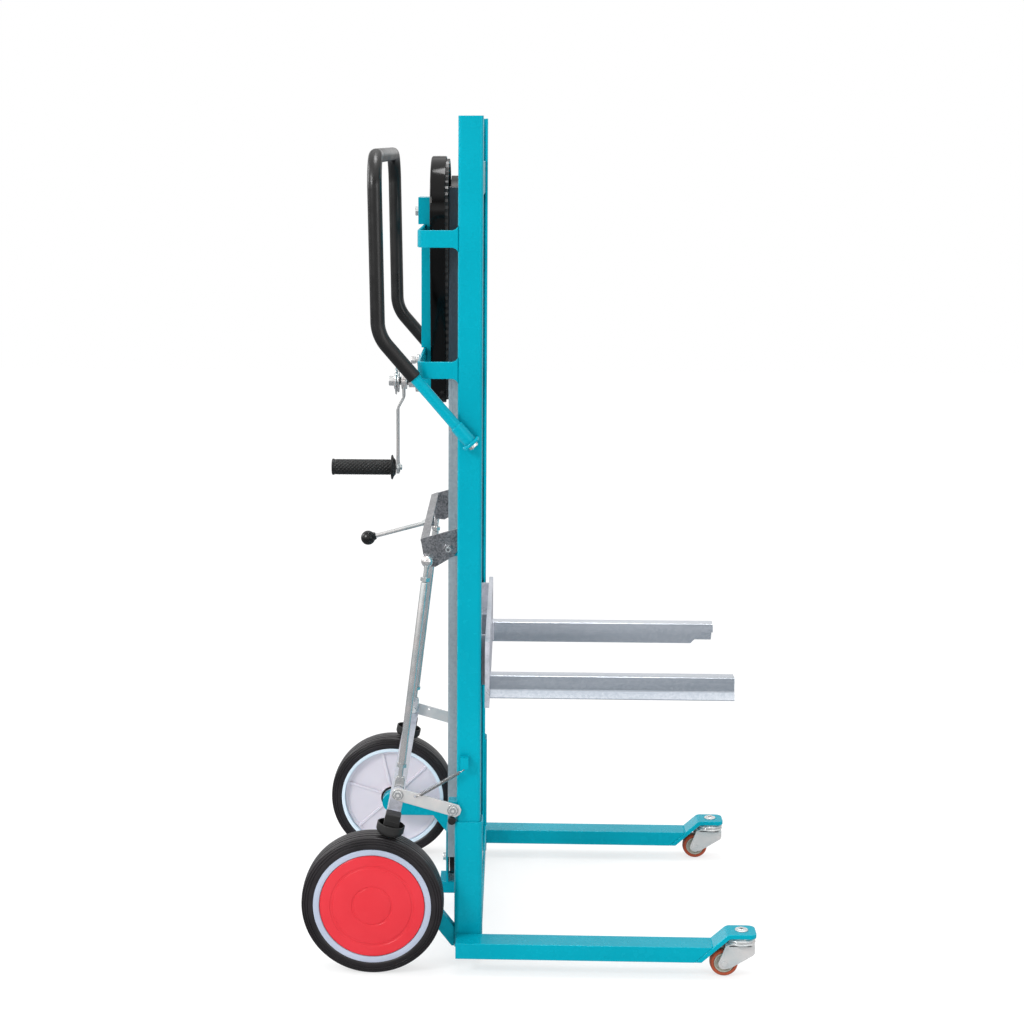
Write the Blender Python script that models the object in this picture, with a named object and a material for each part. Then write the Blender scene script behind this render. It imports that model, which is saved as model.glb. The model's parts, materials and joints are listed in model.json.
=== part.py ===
"""A hand-cranked fork lifting trolley, built as the real one is: a mast of two bent channels on
a wheeled base, a fork carriage on a belt, a geared crank behind a cover, a push handle and a
brake that presses rubber shoes on the rear tyres.

Lengths are in metres. X runs forward from the front face of the uprights, Y across the mast
(near is -Y, far is +Y) and Z up from the floor. The whole trolley hangs on one empty, which
puts the origin on the floor under the middle of its length.
"""

import math

import bmesh
import bpy
from mathutils import Matrix, Vector

# Fits
GAP = 0.0003
RUNNING_FIT = 0.0003
WELD_LAP = 0.0006

# Mast
MAST_HEIGHT = 1.484
MAST_FOOT = 0.030
MAST_HALF_WIDTH = 0.268
UPRIGHT_DEPTH = 0.042
UPRIGHT_FLANGE = 0.040
UPRIGHT_WALL = 0.004
UPRIGHT_CORNER = 0.006
POST_TOP = 0.263
POST_WALL = 0.0034
TOP_MEMBER_DROP = 0.079
TOP_MEMBER_HEIGHT = 0.060
FRONT_PLATE_LOW = 0.058
FRONT_PLATE_HEIGHT = 0.027
FRONT_PLATE_THICK = 0.004
MEMBER_WALL = 0.003

# Legs and front casters
LEG_WIDTH = 0.048
LEG_HEIGHT = 0.028
LEG_WALL = 0.003
LEG_REACH = 0.375
STRAP_THICK = 0.008
STRAP_TOP = 0.082
STRAP_SLOPE = math.radians(42.0)
STRAP_FLAT = 0.050
STRAP_CORNER = 0.012
STRAP_BEND = 0.008
CASTER_TRAIL = 0.0296
CASTER_RADIUS = 0.025
CASTER_WIDTH = 0.020
CASTER_HUB_RADIUS = 0.018
CASTER_AXLE_RADIUS = 0.004
KINGPIN_RADIUS = 0.005
RACE_RADIUS = 0.025
RACE_SHOULDER = 0.006
RACE_HEIGHT = 0.0135
FORK_WALL = 0.0025
FORK_CLEARANCE = 0.002

# Rear wheels and their arms
WHEEL_RADIUS = 0.125
WHEEL_WIDTH = 0.055
WHEEL_OFFSET = 0.027
AXLE_X = -0.1879
RIM_RADIUS = 0.101
CAP_RADIUS = 0.092
AXLE_RADIUS = 0.010
ARM_BOSS_RADIUS = 0.019
ARM_HEIGHT = 0.025
ARM_LOW = 0.0985
ARM_BEND_X = -0.1038
ARM_SLOPE = math.radians(52.0)
ARM_INSET = 0.055
ARM_WIDTH = 0.022

# Belt lift
COLUMN_REAR = -0.0639
COLUMN_DEPTH = 0.0259
COLUMN_HALF_WIDTH = 0.070
COLUMN_WALL = 0.0025
COLUMN_LOW = 0.125
COLUMN_TOP_DROP = 0.122
TOP_SHAFT_DROP = 0.166
LOW_SHAFT_Z = 0.134
BELT_REAR = -0.0609
BELT_WIDTH = 0.0159
BELT_THICK = 0.004
PULLEY_RADIUS = 0.059
SHAFT_RADIUS = 0.008
BRACKET_HALF_WIDTH = 0.030
BRACKET_THICK = 0.0043
BRACKET_TOP = 0.160
BRACKET_FOOT_LOW = 0.039
BRACKET_FOOT_HEIGHT = 0.022
BRACKET_FOOT_REACH = 0.0115
TENSION_HEAD_RADIUS = 0.005
SCREW_HEAD_RADIUS = 0.009
SCREW_HEAD_HEIGHT = 0.006

# Winch, its carrier and its cover
STAY_REAR = -0.1108
STAY_THICK = 0.005
STAY_HEIGHT = 0.029
STAY_BEND = 0.018
UPPER_STAY_DROP = 0.0375
LOWER_STAY_RISE = 0.0495
BAR_REAR = -0.1144
BAR_DEPTH = 0.017
BAR_HALF_WIDTH = 0.030
BAR_TAIL = 0.020
BOSS_REAR = -0.120
BOSS_TAIL = 0.028
BOSS_HEIGHT = 0.053
WINCH_BOLT_RISE = 0.038
WINCH_BOLT_RADIUS = 0.007
WINCH_WASHER_RADIUS = 0.011
CASE_DEPTH = 0.027
CASE_TOP_RADIUS = 0.098
CASE_LOW_RADIUS = 0.039
CASE_WALL = 0.0025
CASE_ROUNDING = 0.0015
CRANK_DROP = 0.474
GEAR_RADIUS = 0.084
PINION_RADIUS = 0.026
GEAR_THICK = 0.005
CHAIN_WIDTH = 0.008
CHAIN_THICK = 0.008
CHAIN_REAR = -0.0905

# Crank
CRANK_LENGTH = 0.160
CRANK_HUB_X = -0.148
CRANK_ARM_X = -0.159
CRANK_ARM_THICK = 0.005
CRANK_ARM_WIDTH = 0.022
CRANK_HUB_RADIUS = 0.015
CRANK_NUT_X = -0.1757
DISC_REAR = -0.1659
DISC_THICK = 0.010
DISC_RADIUS = 0.0255
GRIP_FRONT = -0.163
GRIP_LENGTH = 0.118
GRIP_RADIUS = 0.0138
GRIP_FLANGE_RADIUS = 0.023
GRIP_FLANGE_THICK = 0.007
GRIP_PIN_RADIUS = 0.005

# Push handle
HANDLE_OFFSET = 0.014
HANDLE_TOP_DROP = 0.066
HANDLE_TOP_X = -0.1814
HANDLE_BEND_DROP = 0.364
HANDLE_BEND_X = -0.1759
HANDLE_FOOT_DROP = 0.544
HANDLE_FOOT_X = -0.0204
HANDLE_BEND_RADIUS = 0.065
HANDLE_CORNER_RADIUS = 0.055
HANDLE_TUBE_RADIUS = 0.0095
SLEEVE_RADIUS = 0.0123
SLEEVE_END_DROP = 0.437
SOCKET_RADIUS = 0.0115
SOCKET_LENGTH = 0.036
SOCKET_BOSS_RADIUS = 0.0145

# Fork carriage
PLATE_REAR = 0.0065
PLATE_THICK = 0.008
PLATE_MARGIN = 0.005
PLATE_LOW = 0.469
PLATE_HEIGHT = 0.119
CHEEK_PLAY = 0.014
CHEEK_THICK = 0.006
CHEEK_REAR = -0.029
CHEEK_LOW = 0.497
CHEEK_HEIGHT = 0.090
CLAMP_INNER = 0.055
CLAMP_WIDTH = 0.0115
CLAMP_LOW = 0.520
CLAMP_HEIGHT = 0.040
GUIDE_HEIGHT = 0.080
TINE_TOP = 0.514
TINE_LENGTH = 0.429
TINE_INSET = 0.083
TINE_WIDTH = 0.030
TINE_WALL = 0.003
TINE_INNER_DROP = 0.0385
TINE_OUTER_DROP = 0.025
TINE_LIP_OUT = 0.008
TINE_LIP_DROP = 0.013
TINE_TIP_CUT = 0.022

# Brake
ROCKER_X = -0.0588
ROCKER_BELOW_GRIP = 0.1074
EAR_FRONT = 0.0159
EAR_TOP = 0.0362
EAR_TAIL = 0.0319
WEB_REACH = 0.0482
WEB_RISE = 0.0176
ROCKER_WALL = 0.004
ROCKER_WEB_WIDTH = 0.0145
ROCKER_PIN_RADIUS = 0.005
HANGER_INSET = 0.0485
HANGER_THICK = 0.0065
HANGER_RISE = 0.0574
HANGER_FOOT = 0.015
HANGER_KNEE = 0.017
BALL_X = -0.0949
BALL_DROP = 0.0203
BALL_RADIUS = 0.010
BALL_STANDOFF = 0.009
ROD_RADIUS = 0.0065
LINK_X = -0.0481
LINK_Z = 0.2869
LINK_REAR_X = -0.1444
LINK_REAR_Z = 0.3140
LINK_WIDTH = 0.022
LINK_THICK = 0.004
LINK_PIN_RADIUS = 0.005
ROD_EYE_RADIUS = 0.011
ROD_EYE_PLAY = 0.0018
ROD_EYE_GAP = 0.007
SHOE_ANGLE = math.radians(13.0)
BRAKE_BAR_SIDE = 0.024
BRAKE_BAR_LOW = 0.140
BRAKE_BAR_WALL = 0.003
BAR_LUG_INSET = 0.003
BAR_STUB_SIDE = 0.012
BAR_STUB_LENGTH = 0.036
SHOE_RADIUS = 0.0245
SHOE_HEIGHT = 0.022
SHOE_FLOOR = 0.006
SHOE_WALL = 0.003
SHOE_BLOCK = 0.027
LEVER_RADIUS = 0.004
KNOB_X = -0.2149
KNOB_DROP = 0.0255
KNOB_RADIUS = 0.0133
SPRING_RADIUS = 0.0035
SPRING_HOOK_RADIUS = 0.0012
SPRING_LINK_SHARE = 0.30
SPRING_EYE_X = -0.0290
SPRING_EYE_Z = 0.3720

# Values that follow from the ones above
AXLE_Z = WHEEL_RADIUS
WHEEL_MIDPLANE = MAST_HALF_WIDTH + WHEEL_OFFSET
ARM_INNER = WHEEL_MIDPLANE - ARM_INSET
TOP_MEMBER_LOW = MAST_HEIGHT - TOP_MEMBER_DROP - TOP_MEMBER_HEIGHT
COLUMN_TOP = MAST_HEIGHT - COLUMN_TOP_DROP
TOP_SHAFT_Z = MAST_HEIGHT - TOP_SHAFT_DROP
CRANK_Z = MAST_HEIGHT - CRANK_DROP
HANDLE_TOP_Z = MAST_HEIGHT - HANDLE_TOP_DROP
HANDLE_BEND_Z = MAST_HEIGHT - HANDLE_BEND_DROP
HANDLE_FOOT_Z = MAST_HEIGHT - HANDLE_FOOT_DROP
SLEEVE_END_Z = MAST_HEIGHT - SLEEVE_END_DROP
ROCKER_Z = CRANK_Z - CRANK_LENGTH - ROCKER_BELOW_GRIP
HANGER_HIGH = ROCKER_Z + HANGER_RISE
BALL_Z = ROCKER_Z - BALL_DROP
KNOB_Z = ROCKER_Z - KNOB_DROP
TINE_INNER = MAST_HALF_WIDTH - TINE_INSET
UPPER_STAY_Z = TOP_SHAFT_Z - UPPER_STAY_DROP
LOWER_STAY_Z = CRANK_Z + LOWER_STAY_RISE
BAR_LOW = CRANK_Z - BAR_TAIL
BOSS_LOW = TOP_SHAFT_Z - BOSS_TAIL
BOSS_TOP = BOSS_LOW + BOSS_HEIGHT
PLATE_HALF_WIDTH = MAST_HALF_WIDTH - PLATE_MARGIN
CHEEK_OUTER = MAST_HALF_WIDTH - UPRIGHT_FLANGE - CHEEK_PLAY
HANGER_OUTER = MAST_HALF_WIDTH - HANGER_INSET
ROCKER_EAR_OUTER = HANGER_OUTER + GAP + ROCKER_WALL + 0.0002
BALL_OFFSET = ROCKER_EAR_OUTER + BALL_STANDOFF
BAR_LUG_INNER = MAST_HALF_WIDTH - BAR_LUG_INSET
ROD_EYE_OFFSET = BAR_LUG_INNER - ROD_EYE_GAP
LEG_INNER = MAST_HALF_WIDTH + GAP + POST_WALL + GAP
LEG_MIDPLANE = LEG_INNER + LEG_WIDTH / 2
LEG_TOP = MAST_FOOT + LEG_HEIGHT
STRAP_KNEE_X = LEG_REACH + (STRAP_TOP - MAST_FOOT) / math.tan(STRAP_SLOPE)
STRAP_FRONT = STRAP_KNEE_X + STRAP_FLAT
CASTER_X = STRAP_FRONT - STRAP_FLAT / 2
POST_REAR = -UPRIGHT_DEPTH - GAP - POST_WALL
BAR_FRONT = BAR_REAR + BAR_DEPTH
CASE_REAR = BAR_FRONT + GAP
CRANK_GRIP_Z = CRANK_Z - CRANK_LENGTH
HANDLE_Y = MAST_HALF_WIDTH + HANDLE_OFFSET
HALF_LENGTH_SHIFT = (STRAP_FRONT + AXLE_X - WHEEL_RADIUS) / 2

SIDES = {"near": -1, "far": 1}
WHEEL_SIDES = 32

for leftover in list(bpy.data.objects):
    bpy.data.objects.remove(leftover)

trolley = bpy.data.objects.new("trolley", None)
trolley.location = (-HALF_LENGTH_SHIFT, 0, 0)
bpy.context.scene.collection.objects.link(trolley)


def finish(name, colour, roughness, metallic=0.0):
    made = bpy.data.materials.new(name)
    made.use_nodes = True
    shader = made.node_tree.nodes["Principled BSDF"]
    shader.inputs["Base Color"].default_value = (*colour, 1)
    shader.inputs["Roughness"].default_value = roughness
    shader.inputs["Metallic"].default_value = metallic
    return made


TEAL = finish("teal_paint", (0.0, 0.37, 0.48), 0.4)
ZINC = finish("galvanised_steel", (0.56, 0.59, 0.62), 0.4, 0.8)
BRIGHT = finish("zinc_plated_steel", (0.72, 0.73, 0.72), 0.3, 0.9)
BLACK = finish("black_plastic", (0.02, 0.02, 0.022), 0.45)
RUBBER = finish("black_rubber", (0.04, 0.038, 0.04), 0.7)
RIM_GREY = finish("rim_plastic", (0.62, 0.66, 0.75), 0.5)
CAP_RED = finish("red_cap", (0.76, 0.05, 0.06), 0.45)
CASTER_TREAD = finish("caster_tread", (0.35, 0.08, 0.03), 0.5)


def along(axis, a, b, c):
    """A point from its place c along an axis and its places a and b on the other two, in order."""
    return Vector({"X": (c, a, b), "Y": (a, c, b), "Z": (a, b, c)}[axis])


def closed_faces(bm):
    bmesh.ops.recalc_face_normals(bm, faces=bm.faces)
    return bm


def prism(outline, axis, start, end):
    """A flat outline pulled along an axis. Its two coordinates are the other axes, in order."""
    bm = bmesh.new()
    near = [bm.verts.new(along(axis, a, b, start)) for a, b in outline]
    far = [bm.verts.new(along(axis, a, b, end)) for a, b in outline]
    bm.faces.new(near)
    bm.faces.new(far)
    for i, vert in enumerate(near):
        after = (i + 1) % len(near)
        bm.faces.new((vert, near[after], far[after], far[i]))
    return closed_faces(bm)


def pipe_prism(outer, inner, axis, start, end):
    """The space between two outlines with as many points each, pulled along an axis."""
    bm = bmesh.new()
    loops = [
        [bm.verts.new(along(axis, a, b, place)) for a, b in outline]
        for outline, place in ((outer, start), (outer, end), (inner, end), (inner, start))
    ]
    for first, second in zip(loops, loops[1:] + loops[:1]):
        for i, vert in enumerate(first):
            after = (i + 1) % len(first)
            bm.faces.new((vert, first[after], second[after], second[i]))
    return closed_faces(bm)


def block(x, y, z):
    return prism([(x[0], y[0]), (x[1], y[0]), (x[1], y[1]), (x[0], y[1])], "Z", z[0], z[1])


def turned(profile, axis, centre, steps=18, turn=0.0):
    """A profile of (radius, place along the axis) points turned about that axis through centre.
    A profile that starts and ends at radius 0 is solid; any other is a ring."""
    bm = bmesh.new()
    loops = []
    for radius, place in profile:
        count = steps if radius else 1
        loops.append(
            [
                bm.verts.new(
                    Vector(centre)
                    + along(
                        axis,
                        radius * math.cos(turn + 2 * math.pi * i / steps),
                        radius * math.sin(turn + 2 * math.pi * i / steps),
                        place,
                    )
                )
                for i in range(count)
            ]
        )
    ring = bool(profile[0][0])
    for first, second in zip(loops, loops[1:] + (loops[:1] if ring else [])):
        for i in range(steps):
            after = (i + 1) % steps
            corners = [first[i % len(first)], first[after % len(first)]]
            corners += [second[after % len(second)], second[i % len(second)]]
            bm.faces.new(list(dict.fromkeys(corners)))
    return closed_faces(bm)


def rod(axis, centre, radius, start, end, steps=18, turn=0.0):
    """A round bar about an axis line, from one place along it to another."""
    profile = [(0, start), (radius, start), (radius, end), (0, end)]
    return turned(profile, axis, centre, steps, turn)


def washer_ring(axis, centre, radius, bore, start, end, steps=24):
    profile = [(bore, start), (radius, start), (radius, end), (bore, end)]
    return turned(profile, axis, centre, steps)


def filleted(corners, radius, steps=5, closed=False):
    """The corners of a path or outline, each replaced by an arc."""
    corners = [Vector(corner) for corner in corners]
    points = []
    for i, corner in enumerate(corners):
        if not closed and i in (0, len(corners) - 1):
            points.append(corner)
            continue
        back = (corners[i - 1] - corner).normalized()
        ahead = (corners[(i + 1) % len(corners)] - corner).normalized()
        half = back.angle(ahead) / 2
        centre = corner + (back + ahead).normalized() * radius / math.sin(half)
        start = corner + back * radius / math.tan(half) - centre
        end = corner + ahead * radius / math.tan(half) - centre
        turns = [start.slerp(end, k / steps).normalized() for k in range(steps + 1)]
        points += [centre + turn * radius for turn in turns]
    return points


def swept(points, radii, sides=10, bore=0.0):
    """A round bar through points, with a radius at each; a bore makes it a pipe."""
    bm = bmesh.new()
    points = [Vector(point) for point in points]
    directions = [
        (points[min(i + 1, len(points) - 1)] - points[max(i - 1, 0)]).normalized()
        for i in range(len(points))
    ]
    across = directions[0].orthogonal().normalized()
    frames = []
    for before, direction in zip(directions[:1] + directions, directions):
        across = before.rotation_difference(direction) @ across
        frames.append((across.copy(), direction.cross(across)))
    angles = [2 * math.pi * k / sides for k in range(sides)]

    def loops(sizes):
        return [
            [bm.verts.new(p + size * (math.cos(a) * u + math.sin(a) * v)) for a in angles]
            for p, size, (u, v) in zip(points, sizes, frames)
        ]

    rings = loops(radii)
    if bore:
        rings += reversed(loops([bore] * len(points)))
        rings.append(rings[0])
    for first, second in zip(rings, rings[1:]):
        for k in range(sides):
            after = (k + 1) % sides
            bm.faces.new((first[k], first[after], second[after], second[k]))
    if not bore:
        bm.faces.new(rings[0])
        bm.faces.new(rings[-1])
    return closed_faces(bm)


def bar_between(start, end, radius, sides=10):
    return swept([start, end], [radius, radius], sides)


def round_ends(low, low_radius, high, high_radius, steps=12):
    """The outline of a band round two circles, given their (a, b) centres, b upward."""
    lean = math.asin((low_radius - high_radius) / (high[1] - low[1]))
    arcs = ((high, high_radius, lean, math.pi - lean), (low, low_radius, math.pi - lean, 2 * math.pi + lean))
    points = []
    for (a, b), radius, start, end in arcs:
        for k in range(steps + 1):
            angle = start + (end - start) * k / steps
            points.append((a + radius * math.cos(angle), b + radius * math.sin(angle)))
    return points


def solid(name, bm, material, origin=(0, 0, 0)):
    """An object made of a mesh given in the trolley's frame, with its own origin."""
    bm.transform(Matrix.Translation(-Vector(origin)))
    mesh = bpy.data.meshes.new(name)
    bm.to_mesh(mesh)
    bm.free()
    mesh.shade_smooth()
    mesh.set_sharp_from_angle(angle=math.radians(35))
    mesh.materials.append(material)
    made = bpy.data.objects.new(name, mesh)
    bpy.context.scene.collection.objects.link(made)
    made.parent = trolley
    made.location = origin
    return made


def boolean(target, operation, bm):
    """Joins a shape to an object, or cuts it out, with a hidden helper."""
    helper = solid(f"{target.name}_{operation.lower()}", bm, target.data.materials[0])
    helper.hide_render = True
    helper.display_type = "WIRE"
    modifier = target.modifiers.new(helper.name, "BOOLEAN")
    modifier.operation = operation
    modifier.solver = "EXACT"
    modifier.object = helper


def join(target, bm):
    boolean(target, "UNION", bm)


def cut(target, bm):
    boolean(target, "DIFFERENCE", bm)


def mirrored(side, outline):
    """An outline in X and Y, or Y and Z, is drawn for the far side; the near one is its mirror."""
    return [(a, side * b) for a, b in outline]


def across_span(side, inner, outer):
    return sorted((side * inner, side * outer))


def thick_path(corners, thickness, bend, steps=4):
    """The outline of a bent plate: a path's two faces, with fillets round one middle line."""
    corners = [Vector(corner) for corner in corners]
    faces = []
    for offset in (thickness / 2, -thickness / 2):
        face = []
        for i, corner in enumerate(corners):
            back = (corner - corners[max(i - 1, 0)]).normalized()
            ahead = (corners[min(i + 1, len(corners) - 1)] - corner).normalized()
            back = back if back.length else ahead
            ahead = ahead if ahead.length else back
            normals = [Vector((-d.y, d.x)) for d in (back, ahead)]
            middle = (normals[0] + normals[1]).normalized()
            face.append(corner + middle * offset / middle.dot(normals[0]))
        turn = (corners[1] - corners[0]).cross(corners[2] - corners[1])
        faces.append(filleted(face, bend - math.copysign(offset, turn * offset), steps))
    return faces[0] + faces[1][::-1]


# Frame


def make_uprights():
    wall = UPRIGHT_WALL
    inner = MAST_HALF_WIDTH - UPRIGHT_FLANGE
    outer = MAST_HALF_WIDTH
    for where, side in SIDES.items():
        web = filleted(
            [(0, inner), (0, outer), (-UPRIGHT_DEPTH, outer), (-UPRIGHT_DEPTH, inner)],
            UPRIGHT_CORNER,
        )
        hollow = filleted(
            [
                (-UPRIGHT_DEPTH + wall, inner),
                (-UPRIGHT_DEPTH + wall, outer - wall),
                (-wall, outer - wall),
                (-wall, inner),
            ],
            UPRIGHT_CORNER - wall,
            steps=2,
        )
        upright = solid(
            f"upright_{where}",
            prism(mirrored(side, web + hollow), "Z", MAST_FOOT, MAST_HEIGHT),
            TEAL,
        )
        add_rocker_hanger(upright, side)
        add_link_lug(upright, side)
        if where == "near":
            add_spring_eye(upright, side)


def add_rocker_hanger(upright, side):
    """A plate beside the rocker's ear, narrow above it, with a foot on the edge of the flange."""
    rear = ROCKER_X - ROCKER_PIN_RADIUS - 0.003
    back = -UPRIGHT_DEPTH
    front = back + UPRIGHT_WALL
    inner = HANGER_OUTER - HANGER_THICK
    low = ROCKER_Z - ROCKER_PIN_RADIUS - 0.008
    knee = ROCKER_Z + HANGER_KNEE
    outline = [
        (rear, low),
        (front, low),
        (front, HANGER_HIGH),
        (back, HANGER_HIGH),
        (back, knee + 0.006),
        (rear, knee),
    ]
    foot = block(
        (back, front),
        across_span(side, HANGER_OUTER - WELD_LAP, MAST_HALF_WIDTH - UPRIGHT_FLANGE + WELD_LAP),
        (HANGER_HIGH - HANGER_FOOT, HANGER_HIGH),
    )
    join(upright, foot)
    join(upright, prism(outline, "Y", *across_span(side, inner, HANGER_OUTER)))
    bore = ROCKER_PIN_RADIUS + RUNNING_FIT
    cut(
        upright,
        rod("Y", (ROCKER_X, 0, ROCKER_Z), bore, *across_span(side, inner - 0.01, HANGER_OUTER + 0.002)),
    )


def add_link_lug(upright, side):
    """A lug on the back of the upright, bored for the brake link's bolt."""
    radius = LINK_PIN_RADIUS + RUNNING_FIT
    lug = block(
        (LINK_X - radius - 0.003, -UPRIGHT_DEPTH + WELD_LAP),
        across_span(side, MAST_HALF_WIDTH - 0.028, MAST_HALF_WIDTH - 0.001),
        (LINK_Z - 0.012, LINK_Z + 0.012),
    )
    join(upright, lug)
    span = across_span(side, MAST_HALF_WIDTH - 0.032, MAST_HALF_WIDTH + 0.003)
    cut(upright, rod("Y", (LINK_X, 0, LINK_Z), radius, *span))


def add_spring_eye(upright, side):
    """An ear on the outer face of the upright that holds the front hook of the brake spring."""
    outer = MAST_HALF_WIDTH + 0.016
    ear = block(
        (SPRING_EYE_X - 0.006, SPRING_EYE_X + 0.008),
        across_span(side, MAST_HALF_WIDTH - WELD_LAP, outer),
        (SPRING_EYE_Z - 0.008, SPRING_EYE_Z + 0.012),
    )
    join(upright, ear)
    hole = rod(
        "Z",
        (SPRING_EYE_X, side * (MAST_HALF_WIDTH + 0.009), 0),
        SPRING_HOOK_RADIUS + GAP,
        SPRING_EYE_Z - 0.02,
        SPRING_EYE_Z + 0.02,
        steps=12,
    )
    cut(upright, hole)


def make_posts():
    """A sleeve round the foot of each upright, open to the middle of the mast."""
    inner = MAST_HALF_WIDTH - UPRIGHT_FLANGE
    outer = MAST_HALF_WIDTH + GAP + POST_WALL
    for where, side in SIDES.items():
        outside = filleted(
            [(GAP + POST_WALL, inner), (GAP + POST_WALL, outer), (POST_REAR, outer), (POST_REAR, inner)],
            UPRIGHT_CORNER + POST_WALL,
        )
        inside = filleted(
            [
                (-UPRIGHT_DEPTH - GAP, inner),
                (-UPRIGHT_DEPTH - GAP, outer - POST_WALL),
                (GAP, outer - POST_WALL),
                (GAP, inner),
            ],
            UPRIGHT_CORNER,
        )
        solid(f"post_{where}", prism(mirrored(side, outside + inside), "Z", MAST_FOOT, POST_TOP), TEAL)


def make_cross_members():
    """Box tubes let into the channels at the head and foot, and a plate across the front."""
    back = -UPRIGHT_DEPTH + UPRIGHT_WALL + GAP
    front = -UPRIGHT_WALL - GAP
    half = MAST_HALF_WIDTH - UPRIGHT_CORNER - GAP
    spans = {
        "top_cross_member": (TOP_MEMBER_LOW, TOP_MEMBER_LOW + TOP_MEMBER_HEIGHT),
        "bottom_cross_member": (MAST_FOOT + GAP, FRONT_PLATE_LOW + 0.002),
    }
    for name, (low, high) in spans.items():
        outer = [(back, low), (front, low), (front, high), (back, high)]
        wall = MEMBER_WALL
        inner = [
            (back + wall, low + wall),
            (front - wall, low + wall),
            (front - wall, high - wall),
            (back + wall, high - wall),
        ]
        solid(name, pipe_prism(outer, inner, "Y", -half, half), TEAL)
    plate_front = GAP + POST_WALL
    half = MAST_HALF_WIDTH - UPRIGHT_FLANGE - GAP
    plate = block(
        (plate_front - FRONT_PLATE_THICK, plate_front),
        (-half, half),
        (FRONT_PLATE_LOW, FRONT_PLATE_LOW + FRONT_PLATE_HEIGHT),
    )
    solid("front_cross_plate", plate, TEAL)


def make_legs():
    """A box tube along each side, mitred in front where a bent strap closes it."""
    mitre = LEG_HEIGHT / math.tan(STRAP_SLOPE)
    for where, side in SIDES.items():
        inner, outer = across_span(side, LEG_INNER, LEG_INNER + LEG_WIDTH)
        rear = -UPRIGHT_DEPTH
        long_end = LEG_REACH + mitre
        wall = LEG_WALL
        outside = [(inner, MAST_FOOT), (outer, MAST_FOOT), (outer, LEG_TOP), (inner, LEG_TOP)]
        inside = [
            (inner + wall, MAST_FOOT + wall),
            (outer - wall, MAST_FOOT + wall),
            (outer - wall, LEG_TOP - wall),
            (inner + wall, LEG_TOP - wall),
        ]
        leg = solid(f"leg_{where}", pipe_prism(outside, inside, "X", rear, long_end), TEAL)
        beyond = 0.01
        slope = mitre / LEG_HEIGHT
        wedge = [
            (LEG_REACH - beyond * slope, MAST_FOOT - beyond),
            (long_end + beyond * slope, LEG_TOP + beyond),
            (long_end + 0.05, LEG_TOP + beyond),
            (long_end + 0.05, MAST_FOOT - beyond),
        ]
        cut(leg, prism(wedge, "Y", inner - beyond, outer + beyond))
        make_caster_strap(where, side)


def make_caster_strap(where, side):
    """The bent plate that runs up from the leg's mitre to the flat that holds the caster."""
    lean = STRAP_THICK / math.sin(STRAP_SLOPE)
    knee = STRAP_THICK * math.tan(STRAP_SLOPE / 2)
    play = GAP / math.sin(STRAP_SLOPE)
    low = STRAP_TOP - STRAP_THICK
    upper = [(LEG_REACH + play, MAST_FOOT), (STRAP_KNEE_X + play, STRAP_TOP), (STRAP_FRONT, STRAP_TOP)]
    under = [
        (STRAP_FRONT, low),
        (STRAP_KNEE_X + play + knee, low),
        (LEG_REACH + play + lean, MAST_FOOT),
    ]
    slope = filleted(upper, STRAP_BEND + STRAP_THICK) + filleted(under, STRAP_BEND)
    inner, outer = across_span(side, LEG_INNER, LEG_INNER + LEG_WIDTH)
    strap = solid(f"caster_strap_{where}", prism(slope, "Y", inner, outer), TEAL)
    beyond = 0.01
    for edge, turn in ((inner, 1), (outer, -1)):
        corner = [
            (STRAP_FRONT + beyond, edge - turn * beyond),
            (STRAP_FRONT + beyond, edge + turn * STRAP_CORNER),
        ]
        for k in range(7):
            angle = math.pi / 2 * k / 6
            reach = STRAP_CORNER * (1 - math.cos(angle))
            corner.append((STRAP_FRONT - reach, edge + turn * STRAP_CORNER * (1 - math.sin(angle))))
        corner.append((STRAP_FRONT - STRAP_CORNER, edge - turn * beyond))
        cut(strap, prism(corner, "Z", low - beyond, STRAP_TOP + beyond))
    bore = KINGPIN_RADIUS + RUNNING_FIT
    cut(strap, rod("Z", (CASTER_X, side * LEG_MIDPLANE, 0), bore, low - beyond, STRAP_TOP + beyond))


def make_wheel_arms():
    """A cranked bar from the foot of each post to its wheel's axle stub."""
    fall = math.tan(ARM_SLOPE)
    high = ARM_LOW + ARM_HEIGHT
    top_bend = ARM_BEND_X + ARM_HEIGHT * math.tan(ARM_SLOPE / 2)
    front = POST_REAR - GAP
    foot = MAST_FOOT + GAP
    outline = [
        (AXLE_X, ARM_LOW),
        (ARM_BEND_X, ARM_LOW),
        (ARM_BEND_X + (ARM_LOW - foot) / fall, foot),
        (front, foot),
        (front, high - (front - top_bend) * fall),
        (top_bend, high),
        (AXLE_X, high),
    ]
    outer = ARM_INNER + ARM_WIDTH
    wheel_inner = WHEEL_MIDPLANE - WHEEL_WIDTH / 2
    for where, side in SIDES.items():
        arm = solid(f"wheel_arm_{where}", prism(outline, "Y", *across_span(side, ARM_INNER, outer)), TEAL)
        centre = (AXLE_X, 0, AXLE_Z)
        boss = rod("Y", centre, ARM_BOSS_RADIUS, *across_span(side, ARM_INNER - 0.002, wheel_inner - 0.001))
        join(arm, boss)
        stub_end = WHEEL_MIDPLANE + WHEEL_WIDTH / 2 - 0.010
        join(arm, rod("Y", centre, AXLE_RADIUS, *across_span(side, ARM_INNER, stub_end)))


# Rear wheels


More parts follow.
